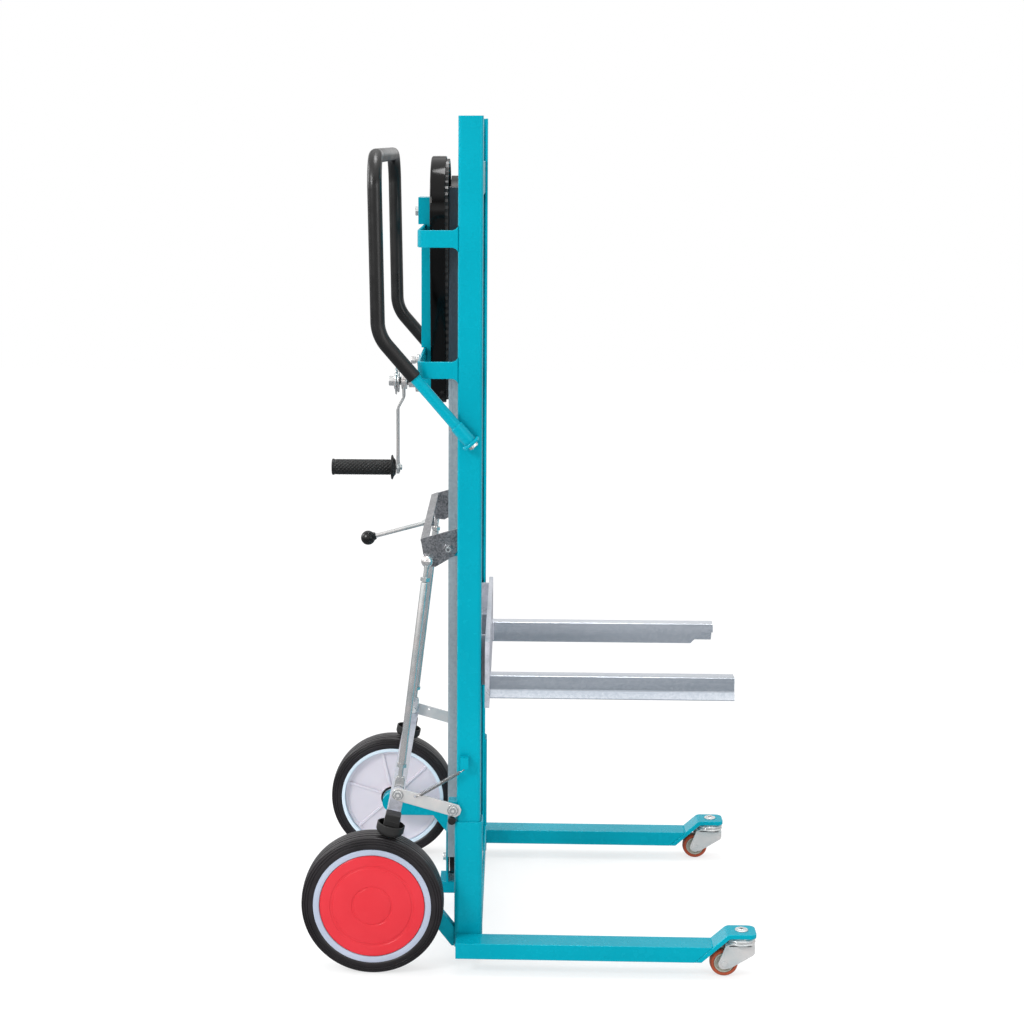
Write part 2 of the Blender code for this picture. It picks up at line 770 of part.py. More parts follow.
def make_wheels():
    half = WHEEL_WIDTH / 2
    groove = 0.0022
    tread = [(WHEEL_RADIUS - 0.010, -half), (WHEEL_RADIUS - 0.003, -half + 0.004)]
    for k in range(-1, 2):
        middle = k * 0.0145
        edge = WHEEL_RADIUS - 0.0006 * k * k
        tread += [
            (edge, middle - 0.0060),
            (edge, middle + 0.0048),
            (edge - groove, middle + 0.0066),
        ]
    tread = tread[:-1] + [(WHEEL_RADIUS - 0.003, half - 0.004), (WHEEL_RADIUS - 0.010, half)]
    seat = RIM_RADIUS + GAP
    tyre = [(seat, -half)] + tread + [(seat, half)]
    hub = 0.023
    bore = AXLE_RADIUS + RUNNING_FIT
    dish = 0.010
    for where, side in SIDES.items():
        centre = (AXLE_X, side * WHEEL_MIDPLANE, AXLE_Z)
        shape = turned([(r, side * y) for r, y in tyre], "Y", centre, WHEEL_SIDES)
        solid(f"tyre_{where}", shape, RUBBER, centre)
        rim = [
            (bore, -half + 0.001),
            (hub, -half + 0.001),
            (hub, -half + dish),
            (RIM_RADIUS - 0.012, -half + dish),
            (RIM_RADIUS - 0.008, -half + 0.002),
            (RIM_RADIUS, -half + 0.002),
            (RIM_RADIUS, half - 0.001),
            (RIM_RADIUS - 0.005, half),
            (CAP_RADIUS + 0.001, half - 0.001),
            (CAP_RADIUS + 0.001, half - 0.006),
            (hub, half - 0.006),
            (hub, half - 0.013),
            (bore, half - 0.013),
        ]
        name = f"rim_{where}"
        shape = turned([(r, side * y) for r, y in rim], "Y", centre, WHEEL_SIDES)
        wheel_rim = solid(name, shape, RIM_GREY, centre)
        add_rim_ribs(wheel_rim, side, centre, hub, half, dish)
        cap_back = half - 0.006 + GAP
        cap_face = half - 0.001
        cap = [
            (0, cap_back),
            (CAP_RADIUS, cap_back),
            (CAP_RADIUS, cap_face - 0.001),
            (CAP_RADIUS - 0.002, cap_face),
            (0.074, cap_face),
            (0.073, cap_face - 0.0008),
            (0.036, cap_face - 0.0008),
            (0.035, cap_face),
            (0, cap_face),
        ]
        shape = turned([(r, side * y) for r, y in cap], "Y", centre, WHEEL_SIDES)
        solid(f"wheel_cap_{where}", shape, CAP_RED, centre)


def add_rim_ribs(rim, side, centre, hub, half, dish):
    """Six low ribs on the inner face of the wheel, from the hub to the rim."""
    count = 6
    for k in range(count):
        rib = block((hub - 0.002, RIM_RADIUS - 0.009), (-0.002, 0.002), (half - dish - 0.002, half - 0.003))
        turn = Matrix.Rotation(2 * math.pi * k / count, 4, "Y")
        lay = Matrix(((1, 0, 0, 0), (0, 0, -side, 0), (0, 1, 0, 0), (0, 0, 0, 1)))
        rib.transform(Matrix.Translation(centre) @ turn @ lay)
        join(rim, closed_faces(rib))


# Front casters


def make_casters():
    low = STRAP_TOP - STRAP_THICK - GAP
    race_low = low - RACE_HEIGHT
    axle_x = CASTER_X - CASTER_TRAIL
    half_gap = CASTER_WIDTH / 2 + FORK_CLEARANCE
    outer = half_gap + FORK_WALL
    for where, side in SIDES.items():
        y = side * LEG_MIDPLANE
        pivot = (CASTER_X, y, 0)
        fork = solid(
            f"caster_fork_{where}",
            turned(
                [
                    (0, race_low),
                    (RACE_RADIUS - 0.002, race_low),
                    (RACE_RADIUS, race_low + 0.004),
                    (RACE_RADIUS, low - RACE_SHOULDER),
                    (RACE_RADIUS - RACE_SHOULDER, low),
                    (KINGPIN_RADIUS, low),
                    (KINGPIN_RADIUS, STRAP_TOP + GAP),
                    (0.011, STRAP_TOP + GAP),
                    (0.011, STRAP_TOP + 0.002),
                    (0.0075, STRAP_TOP + 0.002),
                    (0.0075, STRAP_TOP + 0.007),
                    (0, STRAP_TOP + 0.007),
                ],
                "Z",
                pivot,
            ),
            BRIGHT,
            (CASTER_X, y, race_low),
        )
        crown_rear = axle_x + 0.002
        crown_front = CASTER_X + RACE_RADIUS - 0.002
        crown = block(
            (crown_rear, crown_front),
            (y - outer, y + outer),
            (race_low - 0.004, race_low + WELD_LAP),
        )
        join(fork, crown)
        cheek = [
            (crown_rear, race_low),
            (crown_front, race_low),
            (crown_front, CASTER_RADIUS + 0.0135),
            (axle_x + 0.011, CASTER_RADIUS - 0.0085),
            (axle_x + 0.004, CASTER_RADIUS - 0.010),
            (axle_x - 0.004, CASTER_RADIUS - 0.010),
            (axle_x - 0.009, CASTER_RADIUS - 0.004),
            (axle_x - 0.009, CASTER_RADIUS + 0.006),
        ]
        for wall in (-outer, half_gap):
            join(fork, prism(cheek, "Y", y + wall, y + wall + FORK_WALL))
        centre = (axle_x, y, CASTER_RADIUS)
        join(fork, rod("Y", centre, CASTER_AXLE_RADIUS, -outer - 0.002, outer + 0.002, 16))
        half = CASTER_WIDTH / 2
        tyre = [
            (CASTER_HUB_RADIUS, -half),
            (CASTER_RADIUS - 0.004, -half),
            (CASTER_RADIUS - 0.001, -half + 0.003),
            (CASTER_RADIUS, 0),
            (CASTER_RADIUS - 0.001, half - 0.003),
            (CASTER_RADIUS - 0.004, half),
            (CASTER_HUB_RADIUS, half),
        ]
        solid(f"caster_tyre_{where}", turned(tyre, "Y", centre, 24), CASTER_TREAD, centre)
        bore = CASTER_AXLE_RADIUS + RUNNING_FIT
        hub_edge = CASTER_HUB_RADIUS - GAP
        hub = [
            (bore, -half),
            (0.008, -half),
            (0.009, -half + 0.003),
            (hub_edge - 0.002, -half + 0.003),
            (hub_edge, -half + 0.001),
            (hub_edge, half - 0.001),
            (hub_edge - 0.002, half - 0.003),
            (0.009, half - 0.003),
            (0.008, half),
            (bore, half),
        ]
        solid(f"caster_hub_{where}", turned(hub, "Y", centre, 24), RIM_GREY, centre)


# Belt lift


def make_column():
    """A shallow channel behind the uprights, open to the front, in which the belt runs."""
    front = COLUMN_REAR + COLUMN_DEPTH
    half = COLUMN_HALF_WIDTH
    wall = COLUMN_WALL
    outline = [
        (COLUMN_REAR, -half),
        (front, -half),
        (front, -half + wall),
        (COLUMN_REAR + wall, -half + wall),
        (COLUMN_REAR + wall, half - wall),
        (front, half - wall),
        (front, half),
        (COLUMN_REAR, half),
    ]
    column = solid("lift_column", prism(outline, "Z", COLUMN_LOW, COLUMN_TOP), ZINC)
    radius = SHAFT_RADIUS + 0.001
    span = (COLUMN_REAR - 0.01, COLUMN_REAR + 0.01)
    cut(column, rod("X", (0, 0, TOP_SHAFT_Z), radius, *span))
    slot = block(span, (-radius, radius), (COLUMN_LOW - 0.01, LOW_SHAFT_Z + radius))
    cut(column, slot)


def make_belt_drive():
    front = BELT_REAR + BELT_WIDTH
    outer = PULLEY_RADIUS + BELT_THICK
    low, high = (0, LOW_SHAFT_Z), (0, TOP_SHAFT_Z)
    band = pipe_prism(
        round_ends(low, outer, high, outer, 16),
        round_ends(low, PULLEY_RADIUS, high, PULLEY_RADIUS, 16),
        "X",
        BELT_REAR,
        front,
    )
    solid("lift_belt", band, BLACK)
    bore = SHAFT_RADIUS + RUNNING_FIT
    rim = PULLEY_RADIUS * math.cos(math.pi / 32) - GAP
    pulley = [
        (bore, BELT_REAR),
        (rim, BELT_REAR),
        (rim, front),
        (rim - 0.008, front),
        (rim - 0.008, front - 0.004),
        (0.016, front - 0.004),
        (0.016, front),
        (bore, front),
    ]
    for name, z in (("top_pulley", TOP_SHAFT_Z), ("bottom_pulley", LOW_SHAFT_Z)):
        solid(name, turned(pulley, "X", (0, 0, z), 28), BLACK, (0, 0, z))


def make_tension_bracket():
    """The plate that carries the foot of the column and the lower pulley's pin, on a foot."""
    front = COLUMN_REAR - GAP
    rear = front - BRACKET_THICK
    half = BRACKET_HALF_WIDTH
    foot_front = -UPRIGHT_DEPTH + UPRIGHT_WALL
    foot_top = BRACKET_FOOT_LOW + BRACKET_FOOT_HEIGHT
    foot_rear = rear - BRACKET_FOOT_REACH
    outline = [
        (foot_rear, BRACKET_FOOT_LOW),
        (foot_front, BRACKET_FOOT_LOW),
        (foot_front, foot_top),
        (front, foot_top),
        (front, BRACKET_TOP),
        (rear, BRACKET_TOP),
        (rear, foot_top),
        (foot_rear, foot_top),
    ]
    bracket = solid("tension_bracket", prism(outline, "Y", -half, half), TEAL)
    pin_end = BELT_REAR + BELT_WIDTH + 0.002
    join(bracket, rod("X", (0, 0, LOW_SHAFT_Z), SHAFT_RADIUS, rear + 0.001, pin_end))
    head = rod(
        "X",
        (0, 0, foot_top + 0.040),
        TENSION_HEAD_RADIUS,
        rear - SCREW_HEAD_HEIGHT,
        rear + WELD_LAP,
        steps=6,
    )
    join(bracket, head)


# Winch carrier, cover and gearing


def make_stays():
    """Two flat bars bent to a U behind the mast, ends welded to the uprights."""
    path_rear = STAY_REAR + STAY_THICK / 2
    reach = MAST_HALF_WIDTH - 0.0035
    front = -UPRIGHT_DEPTH - GAP
    path = [(front, -reach), (path_rear, -reach), (path_rear, reach), (front, reach)]
    for name, z in (("upper_stay", UPPER_STAY_Z), ("lower_stay", LOWER_STAY_Z)):
        outline = thick_path(path, STAY_THICK, STAY_BEND)
        solid(name, prism(outline, "Z", z - STAY_HEIGHT / 2, z + STAY_HEIGHT / 2), TEAL)


def make_support_bar():
    """The upright bar that joins the stays and carries both shafts, with a boss at its head."""
    outline = [
        (BAR_REAR, BAR_LOW),
        (BAR_FRONT, BAR_LOW),
        (BAR_FRONT, BOSS_TOP),
        (BOSS_REAR, BOSS_TOP),
        (BOSS_REAR, BOSS_LOW + 0.005),
        (BAR_REAR, BOSS_LOW),
    ]
    half = BAR_HALF_WIDTH
    bar = solid("support_bar", prism(outline, "Y", -half, half), TEAL)
    for z in (UPPER_STAY_Z, LOWER_STAY_Z):
        reach = STAY_HEIGHT / 2 + GAP
        notch = block(
            (BAR_REAR - 0.01, STAY_REAR + STAY_THICK + GAP),
            (-half - 0.01, half + 0.01),
            (z - reach, z + reach),
        )
        cut(bar, notch)
    for z in (TOP_SHAFT_Z, CRANK_Z):
        bore = rod("X", (0, 0, z), SHAFT_RADIUS + RUNNING_FIT, BOSS_REAR - 0.01, BAR_FRONT + 0.01)
        cut(bar, bore)


def make_drive_case():
    """A cover over the reduction, wide at the large sprocket, open towards the column."""
    low, high = (0, CRANK_Z), (0, TOP_SHAFT_Z)
    front = CASE_REAR + CASE_DEPTH
    wall = CASE_WALL
    outer = round_ends(low, CASE_LOW_RADIUS, high, CASE_TOP_RADIUS)
    inner = round_ends(low, CASE_LOW_RADIUS - wall, high, CASE_TOP_RADIUS - wall)
    case = solid("drive_case", prism(outer, "X", CASE_REAR, front), BLACK)
    bevel = case.modifiers.new("rounded_edge", "BEVEL")
    bevel.width = CASE_ROUNDING
    bevel.segments = 2
    bevel.limit_method = "ANGLE"
    bevel.angle_limit = math.radians(60)
    cut(case, prism(inner, "X", CASE_REAR + wall, front + 0.01))
    for z in (TOP_SHAFT_Z, CRANK_Z):
        bore = rod("X", (0, 0, z), SHAFT_RADIUS + 0.001, CASE_REAR - 0.01, CASE_REAR + 0.01)
        cut(case, bore)


def make_reduction():
    """The large sprocket on the top shaft, the chain, and the crank's shaft with its pinion."""
    low, high = (0, CRANK_Z), (0, TOP_SHAFT_Z)
    half = CHAIN_THICK / 2
    steps = 20
    chain = pipe_prism(
        round_ends(low, PINION_RADIUS + half, high, GEAR_RADIUS + half, steps),
        round_ends(low, PINION_RADIUS - half, high, GEAR_RADIUS - half, steps),
        "X",
        CHAIN_REAR,
        CHAIN_REAR + CHAIN_WIDTH,
    )
    solid("drive_chain", chain, BLACK)
    gear_rear = CHAIN_REAR + (CHAIN_WIDTH - GEAR_THICK) / 2
    gear_front = gear_rear + GEAR_THICK
    facet = math.cos(math.pi / steps)
    gear_rim = (GEAR_RADIUS - half) * facet - GAP
    gear_bore = SHAFT_RADIUS + RUNNING_FIT
    gear = washer_ring("X", (0, 0, TOP_SHAFT_Z), gear_rim, gear_bore, gear_rear, gear_front, 32)
    solid("large_sprocket", gear, BRIGHT, (0, 0, TOP_SHAFT_Z))
    head = BOSS_REAR - GAP
    belt_front = BELT_REAR + BELT_WIDTH
    shaft = [
        (0, head - SCREW_HEAD_HEIGHT),
        (SCREW_HEAD_RADIUS, head - SCREW_HEAD_HEIGHT),
        (SCREW_HEAD_RADIUS, head),
        (SHAFT_RADIUS, head),
        (SHAFT_RADIUS, belt_front + 0.004),
        (0, belt_front + 0.004),
    ]
    solid("top_shaft", turned(shaft, "X", (0, 0, TOP_SHAFT_Z)), BRIGHT, (0, 0, TOP_SHAFT_Z))
    pinion_rim = (PINION_RADIUS - half) * facet - GAP
    ratchet_front = BAR_REAR - 0.004
    crank = [
        (0, CRANK_NUT_X),
        (0.0095, CRANK_NUT_X),
        (0.0095, DISC_REAR - GAP),
        (SHAFT_RADIUS, DISC_REAR - GAP),
        (SHAFT_RADIUS, ratchet_front - 0.008),
        (0.020, ratchet_front - 0.008),
        (0.020, ratchet_front),
        (SHAFT_RADIUS, ratchet_front),
        (SHAFT_RADIUS, gear_rear),
        (pinion_rim, gear_rear),
        (pinion_rim, gear_front),
        (SHAFT_RADIUS, gear_front),
        (SHAFT_RADIUS, gear_front + 0.006),
        (0, gear_front + 0.006),
    ]
    solid("crank_shaft", turned(crank, "X", (0, 0, CRANK_Z)), BRIGHT, (0, 0, CRANK_Z))
    bolt_head = BAR_REAR - GAP
    bolt = [
        (0, bolt_head - 0.020),
        (WINCH_BOLT_RADIUS, bolt_head - 0.020),
        (WINCH_BOLT_RADIUS, bolt_head - 0.008),
        (WINCH_WASHER_RADIUS, bolt_head - 0.008),
        (WINCH_WASHER_RADIUS, bolt_head - 0.004),
        (0.005, bolt_head - 0.004),
        (0.005, bolt_head),
        (0, bolt_head),
    ]
    solid("winch_bolt", turned(bolt, "X", (0, 0, CRANK_Z + WINCH_BOLT_RISE), 18), BRIGHT)


def make_crank():
    disc = washer_ring(
        "X",
        (0, 0, CRANK_Z),
        DISC_RADIUS,
        SHAFT_RADIUS + RUNNING_FIT,
        DISC_REAR,
        DISC_REAR + DISC_THICK,
        32,
    )
    solid("pressure_disc", disc, BRIGHT, (0, 0, CRANK_Z))
    low = CRANK_GRIP_Z
    path = [
        (CRANK_HUB_X, CRANK_Z + 0.010),
        (CRANK_HUB_X, CRANK_Z - 0.030),
        (CRANK_ARM_X, CRANK_Z - 0.050),
        (CRANK_ARM_X, low),
    ]
    outline = crank_outline(path)
    half = CRANK_ARM_WIDTH / 2
    arm = solid("crank_arm", prism(outline, "Y", -half, half), BRIGHT, (0, 0, CRANK_Z))
    thick = CRANK_ARM_THICK / 2
    join(arm, rod("X", (0, 0, low), half + 0.0015, CRANK_ARM_X - thick, CRANK_ARM_X + thick))
    hub = CRANK_HUB_X
    join(arm, rod("X", (0, 0, CRANK_Z), CRANK_HUB_RADIUS, hub - 0.004, hub + 0.006))
    pin_rear = GRIP_FRONT - GRIP_LENGTH + 0.004
    join(arm, rod("X", (0, 0, low), GRIP_PIN_RADIUS, pin_rear, CRANK_ARM_X))
    join(arm, rod("X", (0, 0, low), 0.0075, CRANK_ARM_X + thick - WELD_LAP, CRANK_ARM_X + thick + 0.005, 6))
    cut(arm, rod("X", (0, 0, CRANK_Z), SHAFT_RADIUS + RUNNING_FIT, hub - 0.02, hub + 0.02))
    make_grip(low)


def crank_outline(path):
    """The S-bent flat bar of the crank, seen from the side."""
    half = CRANK_ARM_THICK / 2
    bend = 0.008
    rear = filleted([(x - half, z) for x, z in path], bend, 3)
    front = filleted([(x + half, z) for x, z in path], bend, 3)
    return rear + front[::-1]


def make_grip(z):
    """The turning handgrip: a barrel with a rim at its end and a flange beside the arm."""
    rear = GRIP_FRONT - GRIP_LENGTH
    flange = GRIP_FRONT - GRIP_FLANGE_THICK
    bore = GRIP_PIN_RADIUS + RUNNING_FIT
    profile = [
        (bore, rear),
        (GRIP_RADIUS, rear),
        (GRIP_RADIUS + 0.001, rear + 0.002),
        (GRIP_RADIUS + 0.001, rear + 0.005),
        (GRIP_RADIUS, rear + 0.007),
        (GRIP_RADIUS + 0.0006, (rear + flange) / 2),
        (GRIP_RADIUS, flange - 0.002),
        (GRIP_FLANGE_RADIUS, flange),
        (GRIP_FLANGE_RADIUS, GRIP_FRONT - 0.002),
        (0.012, GRIP_FRONT),
        (bore, GRIP_FRONT),
    ]
    solid("crank_grip", turned(profile, "X", (0, 0, z), 20), BLACK, (0, 0, z))


# Push handle


def handle_path():
    """The middle line of the whole tube, from the near foot over the top to the far foot."""
    y = HANDLE_Y
    near = [
        Vector((HANDLE_FOOT_X, -y, HANDLE_FOOT_Z)),
        Vector((HANDLE_BEND_X, -y, HANDLE_BEND_Z)),
        Vector((HANDLE_TOP_X, -y, HANDLE_TOP_Z)),
    ]
    far = [Vector((p.x, -p.y, p.z)) for p in reversed(near)]
    bends = filleted(near, HANDLE_BEND_RADIUS, 4)[:-1]
    back = [Vector((p.x, -p.y, p.z)) for p in reversed(bends)]
    corner = filleted([bends[-1], near[2], far[0], back[0]], HANDLE_CORNER_RADIUS, 6)
    return bends[:-1] + corner + back[1:]


def make_handle():
    path = handle_path()
    slope = (path[1] - path[0]).normalized()
    socket_end = path[0] + slope * SOCKET_LENGTH
    reach = (SLEEVE_END_Z - path[0].z) / slope.z
    sleeve_end = path[0] + slope * reach

    def other(point):
        return Vector((point.x, -point.y, point.z))

    step = slope * 0.0005
    tube = [path[0], socket_end, socket_end + step] + path[1:-1]
    tube += [other(socket_end + step), other(socket_end), path[-1]]
    radii = [SOCKET_RADIUS] * 2 + [HANDLE_TUBE_RADIUS] * (len(tube) - 4) + [SOCKET_RADIUS] * 2
    handle = solid("handle_tube", swept(tube, radii), TEAL)
    boss_at = path[0] + slope * 0.003
    for side in SIDES.values():
        boss = rod(
            "Y",
            (boss_at.x, 0, boss_at.z),
            SOCKET_BOSS_RADIUS,
            *across_span(side, MAST_HALF_WIDTH + GAP, HANDLE_Y + 0.007),
        )
        join(handle, boss)
    sleeve = [sleeve_end] + path[1:-1] + [other(sleeve_end)]
    bore = HANDLE_TUBE_RADIUS + GAP
    made = swept(sleeve, [SLEEVE_RADIUS] * len(sleeve), bore=bore)
    solid("handle_sleeve", made, BLACK)


# Fork carriage


def make_carriage():
    """The front plate, two cheeks between the uprights and the arm that grips the belt."""
    front = PLATE_REAR + PLATE_THICK
    high = PLATE_LOW + PLATE_HEIGHT
    half = PLATE_HALF_WIDTH
    plate = block((PLATE_REAR, front), (-half, half), (PLATE_LOW, high))
    carriage = solid("carriage", plate, ZINC)
    cheek_high = CHEEK_LOW + CHEEK_HEIGHT
    lap = PLATE_REAR + WELD_LAP
    outline = [
        (CHEEK_REAR, CHEEK_LOW),
        (lap, CHEEK_LOW),
        (lap, cheek_high),
        (CHEEK_REAR + 0.020, cheek_high),
        (CHEEK_REAR, cheek_high - 0.020),
    ]
    for side in SIDES.values():
        span = across_span(side, CHEEK_OUTER - CHEEK_THICK, CHEEK_OUTER)
        join(carriage, prism(outline, "Y", *span))
    clamp = block(
        (BELT_REAR + BELT_WIDTH + GAP, lap),
        (CLAMP_INNER, CLAMP_INNER + CLAMP_WIDTH),
        (CLAMP_LOW, CLAMP_LOW + CLAMP_HEIGHT),
    )
    join(carriage, clamp)


def make_guides():
    """A plastic glide on each cheek: a neck past the flanges and a head inside the channel."""
    middle = CHEEK_LOW + CHEEK_HEIGHT / 2
    low, high = middle - GUIDE_HEIGHT / 2, middle + GUIDE_HEIGHT / 2
    inside = UPRIGHT_WALL + 0.0005
    flange_edge = MAST_HALF_WIDTH - UPRIGHT_FLANGE
    neck_out = flange_edge + 0.002
    head_out = MAST_HALF_WIDTH - UPRIGHT_WALL - 0.002
    start = CHEEK_OUTER + GAP
    outline = [
        (-inside, start),
        (-inside, head_out),
        (-UPRIGHT_DEPTH + inside, head_out),
        (-UPRIGHT_DEPTH + inside, neck_out),
        (CHEEK_REAR, neck_out),
        (CHEEK_REAR, start),
    ]
    for where, side in SIDES.items():
        solid(f"guide_block_{where}", prism(mirrored(side, outline), "Z", low, high), BLACK)


def make_tines():
    """Folded forks: a flat top, a plain inner wall and a stepped outer wall with a flared lip."""
    wall = TINE_WALL
    rear = PLATE_REAR + PLATE_THICK + GAP
    tip = rear + TINE_LENGTH
    step = TINE_TOP - TINE_OUTER_DROP
    lip = step - TINE_LIP_DROP
    low = TINE_TOP - TINE_INNER_DROP
    outer = TINE_INNER + TINE_WIDTH
    edge = outer + TINE_LIP_OUT
    outline = [
        (TINE_INNER, TINE_TOP),
        (outer, TINE_TOP),
        (outer, step),
        (edge, lip),
        (edge - wall * 0.8, lip - wall * 0.6),
        (outer - wall, step - wall * 0.4),
        (outer - wall, TINE_TOP - wall),
        (TINE_INNER + wall, TINE_TOP - wall),
        (TINE_INNER + wall, low),
        (TINE_INNER, low),
    ]
    cut_high = low + TINE_TIP_CUT
    corner = [
        (tip - TINE_TIP_CUT * 2, low - 0.001),
        (tip - TINE_TIP_CUT, cut_high),
        (tip + 0.01, cut_high),
        (tip + 0.01, low - 0.001),
    ]
    for where, side in SIDES.items():
        shape = [(side * y, z) for y, z in outline]
        tine = solid(f"tine_{where}", prism(shape, "X", rear, tip), ZINC)
        span = across_span(side, TINE_INNER - 0.005, TINE_INNER + wall + 0.001)
        cut(tine, prism(corner, "Y", *span))


# Brake


def shoe_frame(points):
    """Points given along the tyre's tangent and its radius where the shoes press, as X and Z."""
    sine, cosine = math.sin(SHOE_ANGLE), math.cos(SHOE_ANGLE)
    return [(AXLE_X + r * sine + t * cosine, AXLE_Z + r * cosine - t * sine) for t, r in points]


def make_rocker():
    """A folded cross plate with an ear at each end, turned by the lever about two pins."""
    outer = ROCKER_EAR_OUTER
    inner = outer - ROCKER_WALL
    rear = ROCKER_X - WEB_REACH
    top = ROCKER_Z + WEB_RISE
    ear = [
        (rear, top),
        (ROCKER_X + EAR_FRONT, ROCKER_Z + EAR_TOP),
        (ROCKER_X + EAR_FRONT, ROCKER_Z - EAR_FRONT * 0.2),
        (ROCKER_X + EAR_FRONT * 0.6, ROCKER_Z - EAR_FRONT * 0.8),
        (ROCKER_X - EAR_TAIL * 0.7, ROCKER_Z - EAR_TAIL),
        (ROCKER_X - EAR_TAIL * 1.25, ROCKER_Z - EAR_TAIL * 0.94),
    ]
    web = [
        (rear, top - ROCKER_WALL),
        (rear, top),
        (rear + ROCKER_WEB_WIDTH, top + 0.005),
        (rear + ROCKER_WEB_WIDTH, top - ROCKER_WALL + 0.005),
    ]
    pivot = (ROCKER_X, 0, ROCKER_Z)
    rocker = solid("brake_rocker", prism(web, "Y", -outer, outer), ZINC, pivot)
    for side in SIDES.values():
        join(rocker, prism(ear, "Y", *across_span(side, inner, outer)))
        pin_end = HANGER_OUTER - HANGER_THICK - 0.001
        join(rocker, rod("Y", pivot, ROCKER_PIN_RADIUS, *across_span(side, pin_end, outer)))
        head = across_span(side, outer - WELD_LAP, outer + 0.005)
        join(rocker, rod("Y", pivot, 0.0085, *head, 6))
        stud = across_span(side, outer - WELD_LAP, BALL_OFFSET + 0.004)
        join(rocker, rod("Y", (BALL_X, 0, BALL_Z), 0.004, *stud, 16))
    lug = block(
        (rear, rear + ROCKER_WEB_WIDTH),
        (-0.010, 0.010),
        (top - ROCKER_WALL - 0.014, top - ROCKER_WALL + 0.001),
    )
    join(rocker, lug)
    lever = lever_line()
    cut(rocker, bar_between(lever[0], lever[1] + (lever[1] - lever[0]) * 0.2, LEVER_RADIUS + GAP))


def lever_line():
    """The lever's middle line, from its knob to its end in the rocker's lug."""
    rear = ROCKER_X - WEB_REACH
    end = Vector((rear + ROCKER_WEB_WIDTH * 0.8, 0, ROCKER_Z + WEB_RISE - ROCKER_WALL - 0.006))
    return Vector((KNOB_X, 0, KNOB_Z)), end


def make_lever():
    knob, end = lever_line()
    toward = (end - knob).normalized()
    solid("brake_lever", bar_between(knob + toward * 0.002, end, LEVER_RADIUS), BRIGHT)
    rows = 10
    profile = [
        (KNOB_RADIUS * math.sin(math.pi * k / rows), -KNOB_RADIUS * math.cos(math.pi * k / rows))
        for k in range(rows + 1)
    ]
    profile[0] = (0, profile[0][1])
    profile[-1] = (0, profile[-1][1])
    ball = solid("lever_knob", turned(profile, "X", knob, 16), BLACK)
    cut(ball, bar_between(knob + toward * (0.002 - GAP), knob + toward * 0.03, LEVER_RADIUS + GAP))


def make_rods():
    """The push rods: a ball housing on the rocker's stud, a tube, and an eye on the link's bolt."""
    for where, side in SIDES.items():
        top = Vector((BALL_X, side * BALL_OFFSET, BALL_Z))
        foot = Vector((LINK_REAR_X, side * ROD_EYE_OFFSET, LINK_REAR_Z))
        down = (foot - top).normalized()
        length = (foot - top).length
        steps = (
            (0.006, 0.0050),
            (0.028, 0.0050),
            (0.0285, 0.0080),
            (0.036, 0.0080),
            (0.0365, ROD_RADIUS),
            (length - 0.052, ROD_RADIUS),
            (length - 0.0515, 0.0085),
            (length - 0.044, 0.0085),
            (length - 0.0435, 0.0050),
            (length - 0.008, 0.0050),
        )
        body = swept([top + down * s for s, _ in steps], [r for _, r in steps])
        push_rod = solid(f"brake_rod_{where}", body, BRIGHT, tuple(top))
        housing_half = 0.0072
        ball = [(0, -housing_half), (0.007, -housing_half), (BALL_RADIUS, -0.003)]
        ball += [(r, -y) for r, y in reversed(ball)]
        join(push_rod, turned(ball, "Y", top))
        join(push_rod, rod("Y", foot, ROD_EYE_RADIUS, -0.004, 0.004))
        cut(push_rod, rod("Y", top, 0.004 + RUNNING_FIT, -0.02, 0.02, 16))
        cut(push_rod, rod("Y", foot, LINK_PIN_RADIUS + ROD_EYE_PLAY, -0.02, 0.02))


def stub_middle():
    """How far the stubs lie from the axle, clear of the shoes' cups."""
    return BRAKE_BAR_LOW + BRAKE_BAR_SIDE - BAR_STUB_SIDE / 2 - 0.0015


